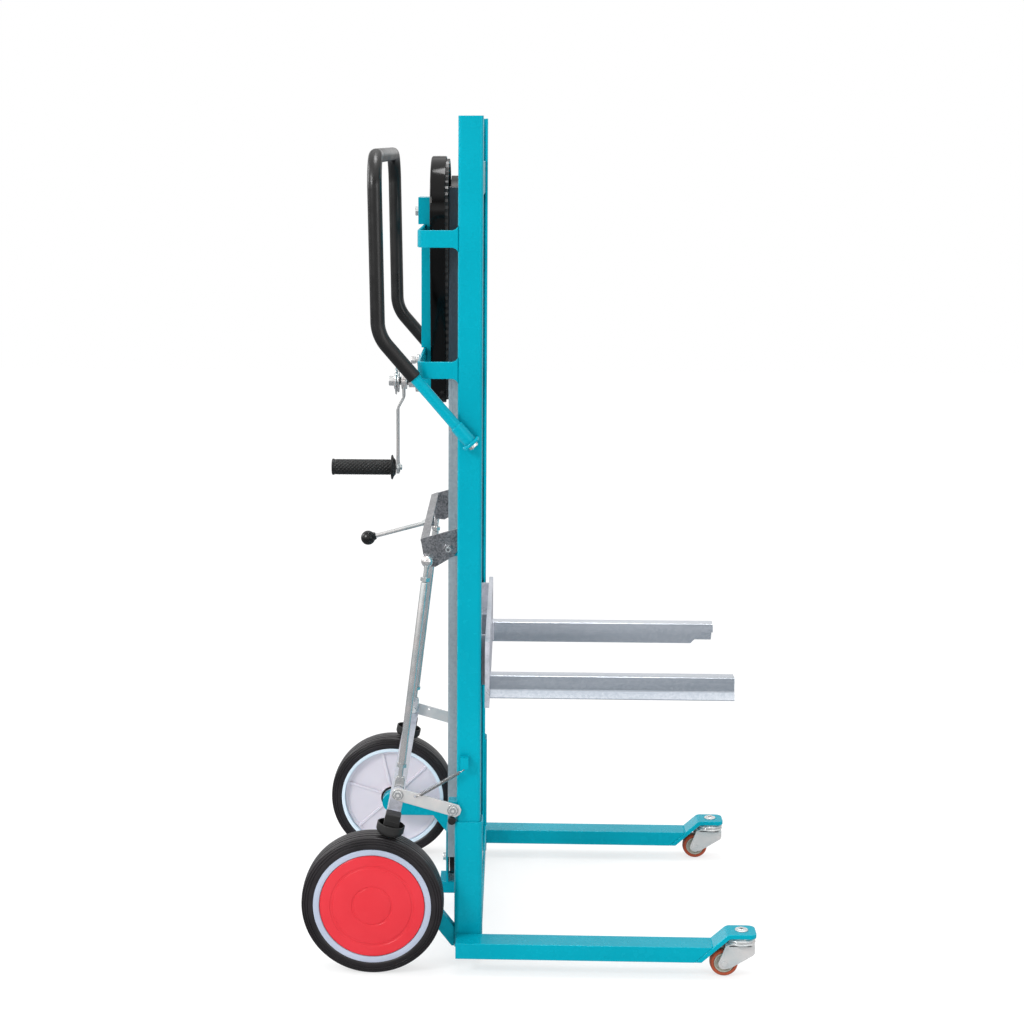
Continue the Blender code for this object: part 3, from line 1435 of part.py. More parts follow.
def make_brake_bar():
    """The cross bar over both tyres: an open channel with a lug and a stub at each end."""
    half = BRAKE_BAR_SIDE / 2
    low = BRAKE_BAR_LOW
    high = low + BRAKE_BAR_SIDE
    wall = BRAKE_BAR_WALL
    channel = [
        (-half, low),
        (-half, high),
        (half, high),
        (half, low),
        (half - wall, low),
        (half - wall, high - wall),
        (-half + wall, high - wall),
        (-half + wall, low),
    ]
    lug_inner = BAR_LUG_INNER
    lug_outer = lug_inner + LINK_THICK
    pivot = (LINK_X, 0, LINK_Z)
    made = prism(shoe_frame(channel), "Y", -lug_inner - WELD_LAP, lug_inner + WELD_LAP)
    bar = solid("brake_bar", made, ZINC, pivot)
    eye = Vector((LINK_REAR_X, LINK_REAR_Z))
    sine, cosine = math.sin(SHOE_ANGLE), math.cos(SHOE_ANGLE)
    eye_side = (eye.x - AXLE_X) * cosine - (eye.y - AXLE_Z) * sine
    eye_high = (eye.x - AXLE_X) * sine + (eye.y - AXLE_Z) * cosine
    lug_half = half - WELD_LAP
    lug = [(-lug_half, low + WELD_LAP), (lug_half, low + WELD_LAP)]
    for k in range(13):
        angle = math.pi * k / 12
        lug.append((eye_side + lug_half * math.cos(angle), eye_high + lug_half * math.sin(angle)))
    lug = shoe_frame(lug)
    stub_half = BAR_STUB_SIDE / 2
    middle = stub_middle()
    stub = shoe_frame(
        [(sx * stub_half, middle + sz * stub_half) for sx, sz in ((-1, -1), (1, -1), (1, 1), (-1, 1))]
    )
    for side in SIDES.values():
        lug_span = across_span(side, lug_inner, lug_outer)
        join(bar, prism(lug, "Y", *lug_span))
        stub_span = across_span(side, lug_outer - WELD_LAP, lug_outer + BAR_STUB_LENGTH)
        join(bar, prism(stub, "Y", *stub_span))
        bore_span = across_span(side, lug_inner - 0.01, lug_outer + 0.01)
        cut(bar, rod("Y", (eye.x, 0, eye.y), LINK_PIN_RADIUS + GAP, *bore_span))


def make_shoes():
    """Rubber shoes pressed on the tyres: a round open cup with a block that holds the bar's stub."""
    low = WHEEL_RADIUS + GAP
    floor = low + SHOE_FLOOR
    high = low + SHOE_HEIGHT
    inside = SHOE_RADIUS - SHOE_WALL
    cup = [
        (0, low),
        (SHOE_RADIUS - 0.010, low + 0.0005),
        (SHOE_RADIUS - 0.003, low + 0.004),
        (SHOE_RADIUS, low + 0.009),
        (SHOE_RADIUS, high),
        (inside, high),
        (inside, floor + 0.003),
        (inside - 0.003, floor),
        (0, floor),
    ]
    block_half = SHOE_BLOCK / 2
    block_top = BRAKE_BAR_LOW + BRAKE_BAR_SIDE + 0.002
    rubber = [(-block_half, floor - WELD_LAP), (block_half, floor - WELD_LAP)]
    rubber += [(block_half, block_top), (-block_half, block_top)]
    stub_half = BAR_STUB_SIDE / 2 + GAP
    middle = stub_middle()
    socket = [(sx * stub_half, middle + sz * stub_half) for sx, sz in ((-1, -1), (1, -1), (1, 1), (-1, 1))]
    stub_end = BAR_LUG_INNER + LINK_THICK + BAR_STUB_LENGTH + GAP
    for where, side in SIDES.items():
        shape = turned(cup, "Z", (0, 0, 0), 24)
        lean = Matrix.Rotation(SHOE_ANGLE, 4, "Y")
        shape.transform(Matrix.Translation((AXLE_X, side * WHEEL_MIDPLANE, AXLE_Z)) @ lean)
        shoe = solid(f"brake_shoe_{where}", closed_faces(shape), RUBBER)
        inner, outer = WHEEL_MIDPLANE - block_half, WHEEL_MIDPLANE + block_half
        join(shoe, prism(shoe_frame(rubber), "Y", *across_span(side, inner, outer)))
        cut(shoe, prism(shoe_frame(socket), "Y", *across_span(side, inner - 0.003, stub_end)))


def make_links():
    """Flat bars from a lug on each upright to the brake bar, with their bolts."""
    start = Vector((LINK_REAR_X, LINK_REAR_Z))
    end = Vector((LINK_X, LINK_Z))
    ahead = (end - start).normalized()
    aside = Vector((-ahead.y, ahead.x)) * LINK_WIDTH / 2
    nose = end + ahead * 0.014
    outline = [end + ahead * 0.008 - aside, nose - aside * 0.4, nose + aside * 0.4]
    outline += [end + ahead * 0.008 + aside]
    for k in range(11):
        angle = math.pi * k / 10
        outline.append(start + aside * math.cos(angle) - ahead * LINK_WIDTH / 2 * math.sin(angle))
    inner = BAR_LUG_INNER + LINK_THICK + 0.0035
    outer = inner + LINK_THICK
    spring_hole = start.lerp(end, SPRING_LINK_SHARE) + aside * 0.45
    for where, side in SIDES.items():
        link = solid(f"brake_link_{where}", prism(outline, "Y", *across_span(side, inner, outer)), BRIGHT)
        for at, pin_inner in ((start, ROD_EYE_OFFSET - 0.008), (end, MAST_HALF_WIDTH - 0.020)):
            centre = (at.x, 0, at.y)
            join(link, rod("Y", centre, LINK_PIN_RADIUS, *across_span(side, pin_inner, outer)))
            join(link, rod("Y", centre, 0.0078, *across_span(side, outer - WELD_LAP, outer + 0.0055), 6))
        hole = rod(
            "Y",
            (spring_hole.x, 0, spring_hole.y),
            SPRING_HOOK_RADIUS + 0.0012,
            *across_span(side, inner - 0.005, outer + 0.005),
            12,
        )
        cut(link, hole)
    return spring_hole, outer


def make_spring(link_hole, link_face):
    """The return spring's body, with a straight hook at each end."""
    side = SIDES["near"]
    y = side * (MAST_HALF_WIDTH + 0.009)
    rear_y = side * (link_face + SPRING_RADIUS + GAP)
    low = SPRING_EYE_Z - 0.008 - GAP
    start = Vector((link_hole.x, rear_y, link_hole.y))
    end = Vector((SPRING_EYE_X, y, low - 0.003))
    ahead = (end - start).normalized()
    spring = solid("brake_spring", bar_between(start, end - ahead * 0.004, SPRING_RADIUS), BRIGHT)
    hook = bar_between(start, start - Vector((0, side * 0.012, 0)), SPRING_HOOK_RADIUS, 8)
    join(spring, hook)
    join(spring, bar_between(end - ahead * 0.008, end + Vector((0, 0, 0.001)), SPRING_HOOK_RADIUS, 8))
    join(spring, bar_between(end - Vector((0, 0, 0.001)), end + Vector((0, 0, 0.012)), SPRING_HOOK_RADIUS, 8))


make_uprights()
make_posts()
make_cross_members()
make_legs()
make_wheel_arms()
make_wheels()
make_casters()
make_column()
make_belt_drive()
make_tension_bracket()
make_stays()
make_support_bar()
make_drive_case()
make_reduction()
make_crank()
make_handle()
make_carriage()
make_guides()
make_tines()
make_rocker()
make_lever()
make_rods()
make_brake_bar()
make_shoes()
make_spring(*make_links())
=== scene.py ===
"""Looks of the fork lifting trolley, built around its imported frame."""

import json
import math

import bmesh
import bpy
from mathutils import Matrix, Vector


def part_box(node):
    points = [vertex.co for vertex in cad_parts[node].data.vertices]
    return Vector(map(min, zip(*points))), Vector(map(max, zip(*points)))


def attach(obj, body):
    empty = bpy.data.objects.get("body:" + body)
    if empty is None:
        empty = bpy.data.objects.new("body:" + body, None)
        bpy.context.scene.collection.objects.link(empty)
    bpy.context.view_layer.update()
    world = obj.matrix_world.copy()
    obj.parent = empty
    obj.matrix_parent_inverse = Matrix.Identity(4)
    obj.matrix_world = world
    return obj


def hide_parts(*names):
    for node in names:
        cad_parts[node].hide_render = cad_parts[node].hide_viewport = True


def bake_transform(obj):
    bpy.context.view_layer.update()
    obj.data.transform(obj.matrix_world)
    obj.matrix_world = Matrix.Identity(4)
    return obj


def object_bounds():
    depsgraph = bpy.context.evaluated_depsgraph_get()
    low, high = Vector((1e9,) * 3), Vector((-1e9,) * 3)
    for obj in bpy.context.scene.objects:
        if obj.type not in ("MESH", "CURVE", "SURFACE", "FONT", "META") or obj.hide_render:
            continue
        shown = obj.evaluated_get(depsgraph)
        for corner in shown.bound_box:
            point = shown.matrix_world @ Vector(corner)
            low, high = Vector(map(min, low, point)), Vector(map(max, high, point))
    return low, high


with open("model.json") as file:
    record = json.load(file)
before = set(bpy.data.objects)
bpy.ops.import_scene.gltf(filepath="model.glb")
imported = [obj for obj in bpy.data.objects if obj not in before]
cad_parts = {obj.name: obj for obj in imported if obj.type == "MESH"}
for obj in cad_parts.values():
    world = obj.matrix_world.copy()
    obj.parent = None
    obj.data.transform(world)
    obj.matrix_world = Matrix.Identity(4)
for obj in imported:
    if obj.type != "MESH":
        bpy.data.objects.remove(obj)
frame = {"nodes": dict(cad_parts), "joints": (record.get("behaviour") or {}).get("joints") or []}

CAD_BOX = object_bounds()
SIDES = {"near": -1, "far": 1}

# Places on X from the front face of the uprights, forward positive, and on Y and Z of the frame
TINE_STANDOFF = 0.0148
MAST_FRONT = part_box("tine_near")[0].x - TINE_STANDOFF
UPRIGHT_BACK = -0.042
RATCHET_X = -0.1224
RATCHET_HUB_X = -0.139
CRANK_HUB_X = -0.148
CRANK_ARM_X = -0.159
ROCKER_WEB_X = -0.107
LINK_REAR = (-0.1444, 0, 0.3140)
SPRING_LUG = (-0.0290, -0.277, 0.3605)
HANDLE_FOOT = (-0.0204, 0.940)
HANDLE_KNEE = (-0.1759, 1.120)
HANDLE_TOP_X = -0.1814
ROD_FOOT_Y = 0.258
ROCKER_BOLT_Y = 0.224

# Sizes of the drive and the handle, steps round a bolt's head, the ribs of a rear wheel's disc with
# the angle of the first in radians, and a brake shoe's lean in degrees
CHAIN_PITCH = 0.0127
BELT_PITCH = 0.008
BELT_THICK = 0.004
HANDLE_TUBE = 0.0095
HANDLE_SLEEVE = 0.0123
HEAD_STEPS = 48
WHEEL_RIBS = 6
RIB_START = 0.3
SHOE_LEAN = 13


def centre_of(node):
    low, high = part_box(node)
    return (low + high) / 2


def radius_of(node):
    """Half of a node's height."""
    low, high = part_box(node)
    return (high.z - low.z) / 2


def mast(x, y, z):
    """A point given forward from the front face of the uprights."""
    return Vector((MAST_FRONT + x, y, z))


def frame_joint(name):
    """The place of a joint in the frame."""
    return next(j["pos_m"] for j in frame["joints"] if j["name"] == name)


# Finishes


def linear(red, green, blue):
    """A colour as it shows on a screen, from 0 to 255, as a shader's linear colour."""
    shares = (value / 255 for value in (red, green, blue))
    return [s / 12.92 if s <= 0.04045 else ((s + 0.055) / 1.055) ** 2.4 for s in shares] + [1]


class Finish:
    """A Principled material with a small vocabulary for variation, speckle and bump."""

    def __init__(self, name, roughness, metallic=0.0, specular=0.5, coat=0.0):
        self.material = bpy.data.materials.new(name)
        self.material.use_nodes = True
        self.tree = self.material.node_tree
        self.shader = self.tree.nodes["Principled BSDF"]
        self.shader.inputs["Roughness"].default_value = roughness
        self.shader.inputs["Metallic"].default_value = metallic
        self.shader.inputs["Specular IOR Level"].default_value = specular
        self.shader.inputs["Coat Weight"].default_value = coat
        self.shader.inputs["Coat Roughness"].default_value = 0.1
        self.place = self.tree.nodes.new("ShaderNodeTexCoord").outputs["Object"]

    def link(self, output, target):
        self.tree.links.new(output, target)

    def noise(self, scale, detail=3.0, stretch=(1, 1, 1)):
        mapping = self.tree.nodes.new("ShaderNodeMapping")
        mapping.inputs["Scale"].default_value = stretch
        self.link(self.place, mapping.inputs["Vector"])
        noise = self.tree.nodes.new("ShaderNodeTexNoise")
        noise.inputs["Scale"].default_value = scale
        noise.inputs["Detail"].default_value = detail
        self.link(mapping.outputs["Vector"], noise.inputs["Vector"])
        return noise.outputs["Fac"]

    def spangle(self, scale):
        """A random value for each zinc crystal."""
        cells = self.tree.nodes.new("ShaderNodeTexVoronoi")
        cells.inputs["Scale"].default_value = scale
        self.link(self.place, cells.inputs["Vector"])
        grey = self.tree.nodes.new("ShaderNodeSeparateColor")
        self.link(cells.outputs["Color"], grey.inputs["Color"])
        return grey.outputs["Red"]

    def spread(self, value, low, high, start=0.3, end=0.7):
        """A value from start to end spread over low to high."""
        node = self.tree.nodes.new("ShaderNodeMapRange")
        for socket, number in zip(("From Min", "From Max", "To Min", "To Max"), (start, end, low, high)):
            node.inputs[socket].default_value = number
        self.link(value, node.inputs["Value"])
        return node.outputs["Result"]

    def mix(self, factor, blend="MIX"):
        """The colour inputs and the output of a colour mix."""
        node = self.tree.nodes.new("ShaderNodeMix")
        node.data_type = "RGBA"
        node.blend_type = blend
        self.link(factor, node.inputs["Factor"])
        inputs = [socket for socket in node.inputs if socket.type == "RGBA"]
        return inputs, next(o for o in node.outputs if o.type == "RGBA")

    def between(self, value, first, second, start=0.3, end=0.7):
        """A colour from first to second as a value goes from start to end."""
        inputs, output = self.mix(self.spread(value, 0, 1, start, end))
        inputs[0].default_value = first
        inputs[1].default_value = second
        return output

    def shaded(self, colour, tint, low, high):
        """Painted shade: a colour that turns towards a darker tint above a height, from low to high."""
        split = self.tree.nodes.new("ShaderNodeSeparateXYZ")
        self.link(self.place, split.inputs["Vector"])
        inputs, output = self.mix(self.spread(split.outputs["Z"], 0, 1, low, high), "MULTIPLY")
        self.link(colour, inputs[0])
        inputs[1].default_value = tint
        return output

    def colour(self, output):
        self.link(output, self.shader.inputs["Base Color"])
        return self

    def rough(self, output):
        self.link(output, self.shader.inputs["Roughness"])
        return self

    def bump(self, value, depth, strength=0.5):
        node = self.tree.nodes.new("ShaderNodeBump")
        node.inputs["Strength"].default_value = strength
        node.inputs["Distance"].default_value = depth
        self.link(value, node.inputs["Height"])
        before = self.shader.inputs["Normal"]
        if before.links:
            self.link(before.links[0].from_socket, node.inputs["Normal"])
        self.link(node.outputs["Normal"], before)
        return self


def powder_coat():
    made = Finish("powder_coat", 0.24, specular=0.5, coat=0.08)
    made.shader.inputs["Specular Tint"].default_value = (0.08, 0.85, 1, 1)
    cloud = made.noise(5, 4)
    made.colour(made.between(cloud, linear(0, 143, 163), linear(0, 152, 172)))
    made.rough(made.spread(made.noise(50), 0.22, 0.3))
    made.bump(made.noise(700, 1), 0.00003, 0.12)
    return made.material


def sheet_steel(name, dark, light, stretch, spangle, grain=0.3, shine=(0.24, 0.4), shade=None, metallic=0.88):
    """Galvanised steel: streaks drawn along one direction over crystals of zinc, with an optional painted
    shade that darkens it above a height.
    """
    made = Finish(name, 0.35, metallic)
    streak = made.noise(26, 4, stretch)
    crystal = made.spangle(spangle)
    mixed = made.tree.nodes.new("ShaderNodeMath")
    mixed.operation = "MULTIPLY_ADD"
    mixed.inputs[1].default_value = grain
    made.link(crystal, mixed.inputs[0])
    made.link(streak, mixed.inputs[2])
    tone = made.between(mixed.outputs["Value"], linear(*dark), linear(*light), 0.35, 0.75 + grain)
    made.colour(made.shaded(tone, *shade) if shade else tone)
    made.rough(made.spread(streak, *shine))
    made.bump(crystal, 0.00003, 0.2)
    return made.material


def bright_zinc(name, metallic, lift):
    """Plated steel, with its two tones made lighter by a lift."""
    made = Finish(name, 0.2, metallic)
    tones = [linear(*(value + lift for value in tone)) for tone in ((196, 203, 204), (222, 216, 214))]
    made.colour(made.between(made.noise(30, 4), *tones))
    made.rough(made.spread(made.noise(90), 0.14, 0.26))
    return made.material


def black_moulding(name, roughness, grain, depth, lightness=14, specular=0.32):
    made = Finish(name, roughness, specular=specular)
    tint = made.noise(9)
    low, high = lightness - 3, lightness + 4
    made.colour(made.between(tint, linear(low, low, low), linear(high + 1, high, high)))
    made.rough(made.spread(made.noise(40), roughness - 0.06, roughness + 0.08))
    made.bump(made.noise(grain, 3), depth, 0.3)
    return made.material


def tyre_rubber():
    made = Finish("tyre_rubber", 0.34, specular=0.4)
    dust = made.noise(14, 5)
    made.colour(made.between(dust, linear(24, 22, 24), linear(38, 34, 37)))
    made.rough(made.spread(dust, 0.28, 0.42))
    made.bump(made.noise(420, 4), 0.00006, 0.3)
    return made.material


def moulded(name, first, second, roughness, scatter=0.0, specular=0.35):
    made = Finish(name, roughness, specular=specular)
    made.colour(made.between(made.noise(8, 3), linear(*first), linear(*second)))
    made.rough(made.spread(made.noise(70), roughness - 0.05, roughness + 0.07))
    made.bump(made.noise(500, 2), 0.00003, 0.2)
    if scatter:
        made.shader.inputs["Subsurface Weight"].default_value = scatter
        made.shader.inputs["Subsurface Scale"].default_value = 0.002
    return made.material


TEAL = powder_coat()
# Painted shade: the column turns dark slate above the lower stay, standing for the shade and dark reflection
# of the drive case
STAY_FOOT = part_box("lower_stay")[0].z
COLUMN_STEEL = sheet_steel(
    "column_steel", (128, 142, 150), (182, 194, 200), (1, 1, 0.05), 240, 0.1,
    shade=((0.12, 0.145, 0.17, 1), STAY_FOOT, STAY_FOOT + 0.008), metallic=0.35,
)
FORK_STEEL = sheet_steel(
    "fork_steel", (188, 196, 206), (232, 236, 244), (0.05, 1, 1), 240, 0.12, (0.12, 0.24), metallic=0.8,
)
CARRIAGE_STEEL = sheet_steel(
    "carriage_steel", (178, 182, 190), (218, 218, 228), (1, 0.1, 1), 220, 0.3, metallic=0.45,
)
SPANGLED_STEEL = sheet_steel(
    "spangled_steel", (92, 94, 98), (172, 172, 176), (1, 1, 1), 420, 0.9, (0.26, 0.42),
)
ZINC = bright_zinc("bright_zinc", 0.86, 10)
PLATED = bright_zinc("plated_steel", 0.45, 6)
SHELL = black_moulding("gloss_shell", 0.12, 300, 0.00002, 5, 0.22)
SHOE = black_moulding("shoe_rubber", 0.46, 500, 0.00005, 34, 0.35)
FOAM = black_moulding("foam_sleeve", 0.32, 520, 0.00004, 15, 0.45)
GRIP = black_moulding("grip_rubber", 0.42, 600, 0.00004, 22, 0.4)
BELT = black_moulding("belt_rubber", 0.36, 500, 0.00006, 9, 0.25)
KNOB = black_moulding("knob_resin", 0.24, 200, 0.00002, 14, 0.45)
CHAIN = black_moulding("oiled_chain", 0.3, 300, 0.00003, 34, 0.5)
TYRE = tyre_rubber()
# The far rim is the same moulding as the near one, coloured lighter as painted light that makes up for the
# shade it sits in inside the tyre
RIMS = {
    "near": moulded("rim_moulding", (156, 166, 184), (170, 180, 198), 0.36),
    "far": moulded("rim_painted_lighter", (206, 222, 234), (216, 230, 240), 0.4),
}
SPRING = bright_zinc("spring_steel", 0.9, -50)
DISC = moulded("disc_moulding", (208, 204, 214), (222, 214, 222), 0.45, 0.05)
RED = moulded("red_cap", (202, 40, 50), (208, 50, 60), 0.34, 0.0, 0.25)
BROWN = moulded("caster_tread", (150, 60, 34), (170, 80, 50), 0.3, 0.05)
HUB = moulded("caster_hub", (150, 150, 140), (168, 168, 156), 0.45)


# Shapes


def along(axis, a, b, c):
    return Vector({"X": (c, a, b), "Y": (a, c, b), "Z": (a, b, c)}[axis])


def closed(bm):
    bmesh.ops.recalc_face_normals(bm, faces=bm.faces)
    return bm


def skin(bm, loops):
    """Faces between each loop of corners and the next."""
    for first, second in zip(loops, loops[1:]):
        for i, vert in enumerate(first):
            after = (i + 1) % len(first)
            bm.faces.new((vert, first[after], second[after], second[i]))


def capped(bm, loops):
    """A closed body through loops of corners, with a flat face at both ends."""
    skin(bm, loops)
    bm.faces.new(loops[0])
    bm.faces.new(loops[-1])
    return closed(bm)


def axes(x, y, z, origin):
    """The matrix that lays a shape's own axes along three directions at a place."""
    return Matrix([(x[i], y[i], z[i], origin[i]) for i in range(3)] + [(0, 0, 0, 1)])


def arc(centre, radius, start, end, steps):
    """Points round a centre, between two angles in degrees."""
    angles = (math.radians(start + (end - start) * k / steps) for k in range(steps + 1))
    return [(centre[0] + radius * math.cos(a), centre[1] + radius * math.sin(a)) for a in angles]


def filleted(corners, radius, steps=6, closed_loop=False):
    """A path or closed outline with its corners rounded."""
    corners = [Vector(corner) for corner in corners]
    points = []
    for i, corner in enumerate(corners):
        if not closed_loop and i in (0, len(corners) - 1):
            points.append(corner)
            continue
        back = corners[i - 1] - corner
        ahead = corners[(i + 1) % len(corners)] - corner
        half = back.angle(ahead) / 2
        if half > math.radians(89.5):
            points.append(corner)
            continue
        room = min(back.length, ahead.length) * 0.49 * math.tan(half)
        size = min(radius, room)
        back.normalize()
        ahead.normalize()
        centre = corner + (back + ahead).normalized() * size / math.sin(half)
        start = corner + back * size / math.tan(half) - centre
        end = corner + ahead * size / math.tan(half) - centre
        points += [centre + start.slerp(end, k / steps).normalized() * size for k in range(steps + 1)]
    return points


def prism(outline, axis, start, end, chamfer=0.0):
    """A flat outline pulled along an axis, with its end edges broken by a chamfer."""
    bm = bmesh.new()
    flat = [Vector((a, b)) for a, b in outline]
    rings = [(start, 0)] if not chamfer else [(start, chamfer), (start + chamfer, 0), (end - chamfer, 0)]
    rings.append((end, chamfer))
    turn = sum(a.cross(b) for a, b in zip(flat, flat[1:] + flat[:1]))
    loops = []
    for place, inset in rings:
        loop = []
        for i, corner in enumerate(flat):
            before = (corner - flat[i - 1]).normalized()
            after = (flat[(i + 1) % len(flat)] - corner).normalized()
            normals = [Vector((-d.y, d.x)) * math.copysign(1, turn) for d in (before, after)]
            middle = (normals[0] + normals[1]).normalized()
            shifted = corner + middle * inset / max(middle.dot(normals[0]), 0.3)
            loop.append(bm.verts.new(along(axis, shifted.x, shifted.y, place)))
        loops.append(loop)
    return capped(bm, loops)


def turned(profile, axis, centre, steps=64, swell=None):
    """A (radius, place) profile turned round an axis; swell adds to the radius by angle and place."""
    bm = bmesh.new()
    loops = []
    for radius, place in profile:
        loop = []
        for i in range(steps if radius else 1):
            angle = 2 * math.pi * i / steps
            size = radius + (swell(angle, place) if swell else 0)
            spot = along(axis, size * math.cos(angle), size * math.sin(angle), place)
            loop.append(bm.verts.new(Vector(centre) + spot))
        loops.append(loop)
    ring = bool(profile[0][0])
    for first, second in zip(loops, loops[1:] + (loops[:1] if ring else [])):
        for i in range(steps):
            after = (i + 1) % steps
            corners = [first[i % len(first)], first[after % len(first)]]
            corners += [second[after % len(second)], second[i % len(second)]]
            bm.faces.new(list(dict.fromkeys(corners)))
    return closed(bm)


def soft(profile, radius, steps=3):
    """A solid's or ring's profile with its corners rounded."""
    return [tuple(p) for p in filleted(profile, radius, steps, closed_loop=bool(profile[0][0]))]


def ball_profile(radius, half, rows):
    """A ball's (radius, place) profile, drawn out to a half width along its axis."""
    angles = [math.pi * k / rows for k in range(rows + 1)]
    profile = [(radius * math.sin(a), -half * math.cos(a)) for a in angles]
    return [(0, profile[0][1])] + profile[1:-1] + [(0, profile[-1][1])]


def gear_outline(centre, teeth, steps):
    """A toothed disc's outline in Y and Z; steps hold a share of the tooth's pitch and a radius."""
    outline = []
    for k in range(teeth):
        for share, size in steps:
            angle = 2 * math.pi * (k + share) / teeth
            outline.append((centre.y + size * math.cos(angle), centre.z + size * math.sin(angle)))
    return outline


def rod(axis, centre, radius, start, end, steps=32, edge=0.0005):
    profile = soft([(0, start), (radius, start), (radius, end), (0, end)], edge)
    return turned(profile, axis, centre, steps)


def washer(axis, centre, radius, bore, start, end, steps=40, edge=0.0003):
    profile = soft([(bore, start), (radius, start), (radius, end), (bore, end)], edge)
    return turned(profile, axis, centre, steps)


def swept(points, radii, sides=20, bore=0.0):
    """A round bar through points, with a radius at each; a bore makes it a pipe."""
    bm = bmesh.new()
    points = [Vector(point) for point in points]
    if not hasattr(radii, "__len__"):
        radii = [radii] * len(points)
    last = len(points) - 1
    directions = [(points[min(i + 1, last)] - points[max(i - 1, 0)]).normalized() for i in range(last + 1)]
    across = directions[0].orthogonal().normalized()
    frames = []
    for before, direction in zip(directions[:1] + directions, directions):
        across = before.rotation_difference(direction) @ across
        frames.append((across.copy(), direction.cross(across)))

    def loops(sizes):
        made = []
        for point, size, (u, v) in zip(points, sizes, frames):
            angles = (2 * math.pi * k / sides for k in range(sides))
            made.append([bm.verts.new(point + size * (math.cos(a) * u + math.sin(a) * v)) for a in angles])
        return made

    rings = loops(radii)
    if not bore:
        return capped(bm, rings)
    rings += reversed(loops([bore] * len(points)))
    skin(bm, rings + rings[:1])
    return closed(bm)


def hex_head(axis, centre, across, start, end, recess=0.0, turn=0.0):
    """A hexagon head whose outer face is at end, chamfered round, with an optional socket."""
    radius = across / math.sqrt(3)
    out = math.copysign(1, end - start)
    edge = out * across * 0.07
    bm = bmesh.new()
    angles = [2 * math.pi * i / HEAD_STEPS for i in range(HEAD_STEPS)]

    def flats(angle):
        sector = (angle + turn) % (math.pi / 3) - math.pi / 6
        return min(across / 2 / math.cos(sector), radius * 0.985)

    rows = [(start, flats), (end - edge, flats), (end, lambda angle: across / 2 * 0.97)]
    if recess:
        rows.append((end, lambda angle: recess))
        rows.append((end - out * recess * 1.1, lambda angle: recess * 0.9))
    loops = []
    for place, size in rows:
        spots = (along(axis, size(a) * math.cos(a), size(a) * math.sin(a), place) for a in angles)
        loops.append([bm.verts.new(Vector(centre) + spot) for spot in spots])
    return capped(bm, loops)


def joined(*shapes):
    """Several shapes as one mesh."""
    whole = bmesh.new()
    for shape in shapes:
        mesh = bpy.data.meshes.new("part")
        shape.to_mesh(mesh)
        shape.free()
        whole.from_mesh(mesh)
        bpy.data.meshes.remove(mesh)
    return whole


def piece(name, bm, finish, body, replaced=(), sharp=32):
    """A shown piece that rides on a body and stands for the nodes it replaces."""
    mesh = bpy.data.meshes.new(name)
    bm.to_mesh(mesh)
    bm.free()
    mesh.shade_smooth()
    mesh.set_sharp_from_angle(angle=math.radians(sharp))
    mesh.materials.append(finish)
    made = bpy.data.objects.new(name, mesh)
    bpy.context.scene.collection.objects.link(made)
    if body:
        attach(made, body)
    if replaced:
        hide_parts(*replaced)
    return made


def dress(node, finish, edge=0.0007, crease=38):
    """A node shown as it is, with its edges eased and its flats cleaned of inner edges."""
    shown = frame["nodes"][node]
    shown.data.materials.clear()
    shown.data.materials.append(finish)
    for polygon in shown.data.polygons:
        polygon.use_smooth = True
        polygon.material_index = 0
    custom = shown.data.attributes.get("custom_normal")
    if custom:
        shown.data.attributes.remove(custom)
    weld = shown.modifiers.new("weld", "WELD")
    weld.merge_threshold = 1e-5
    flats = shown.modifiers.new("flats", "DECIMATE")
    flats.decimate_type = "DISSOLVE"
    flats.angle_limit = math.radians(0.8)
    bevel = shown.modifiers.new("eased", "BEVEL")
    bevel.width = edge
    bevel.segments = 2
    bevel.limit_method = "ANGLE"
    bevel.angle_limit = math.radians(crease)
    bevel.harden_normals = True
    shown.modifiers.new("normals", "WEIGHTED_NORMAL").keep_sharp = True
    return shown


def bead(name, points, radius, body="mast_frame", finish=TEAL):
    """A weld bead: a thin rope whose thickness ripples along its length."""
    points = [Vector(p) for p in points]
    path = []
    radii = []
    step = radius * 0.45
    for first, second in zip(points, points[1:]):
        count = max(2, int((second - first).length / step))
        for k in range(count):
            path.append(first.lerp(second, k / count))
            ripple = 0.14 * math.sin(2.4 * len(path)) + 0.05 * math.sin(0.7 * len(path))
            radii.append(radius * (0.86 + ripple))
    path.append(points[-1])
    radii.append(radius * 0.6)
    radii[0] = radius * 0.6
    return piece(name, swept(path, radii, 10), finish, body)


# The two-pulley tracks of the belt and the chain


class Track:
    """A closed path round two circles on the mast's middle plane, low and high on Z."""

    def __init__(self, low_z, low_radius, high_z, high_radius):
        self.low, self.high = low_z, high_z
        self.radii = (low_radius, high_radius)
        self.lean = math.asin((low_radius - high_radius) / (high_z - low_z))
        self.run = (high_z - low_z) * math.cos(self.lean)
        self.wraps = (math.pi + 2 * self.lean, math.pi - 2 * self.lean)
        self.length = 2 * self.run + self.radii[0] * self.wraps[0] + self.radii[1] * self.wraps[1]

    def spot(self, travel, offset=0.0):
        """The (y, z) place at a distance along the path, moved outward by an offset."""
        travel %= self.length
        top = self.radii[1] * self.wraps[1]
        low = self.radii[0] * self.wraps[0]
        if travel < top:
            angle = self.lean + travel / self.radii[1]
            centre, radius, slide = self.high, self.radii[1], 0
        elif travel < top + self.run:
            angle = math.pi - self.lean
            centre, radius, slide = self.high, self.radii[1], travel - top
        elif travel < top + self.run + low:
            angle = math.pi - self.lean + (travel - top - self.run) / self.radii[0]
            centre, radius, slide = self.low, self.radii[0], 0
        else:
            angle = self.lean
            centre, radius, slide = self.low, self.radii[0], travel - top - self.run - low
        reach = radius + offset
        along_run = (-math.sin(angle) * slide, math.cos(angle) * slide)
        y = reach * math.cos(angle) + along_run[0]
        z = centre + reach * math.sin(angle) + along_run[1]
        return y, z


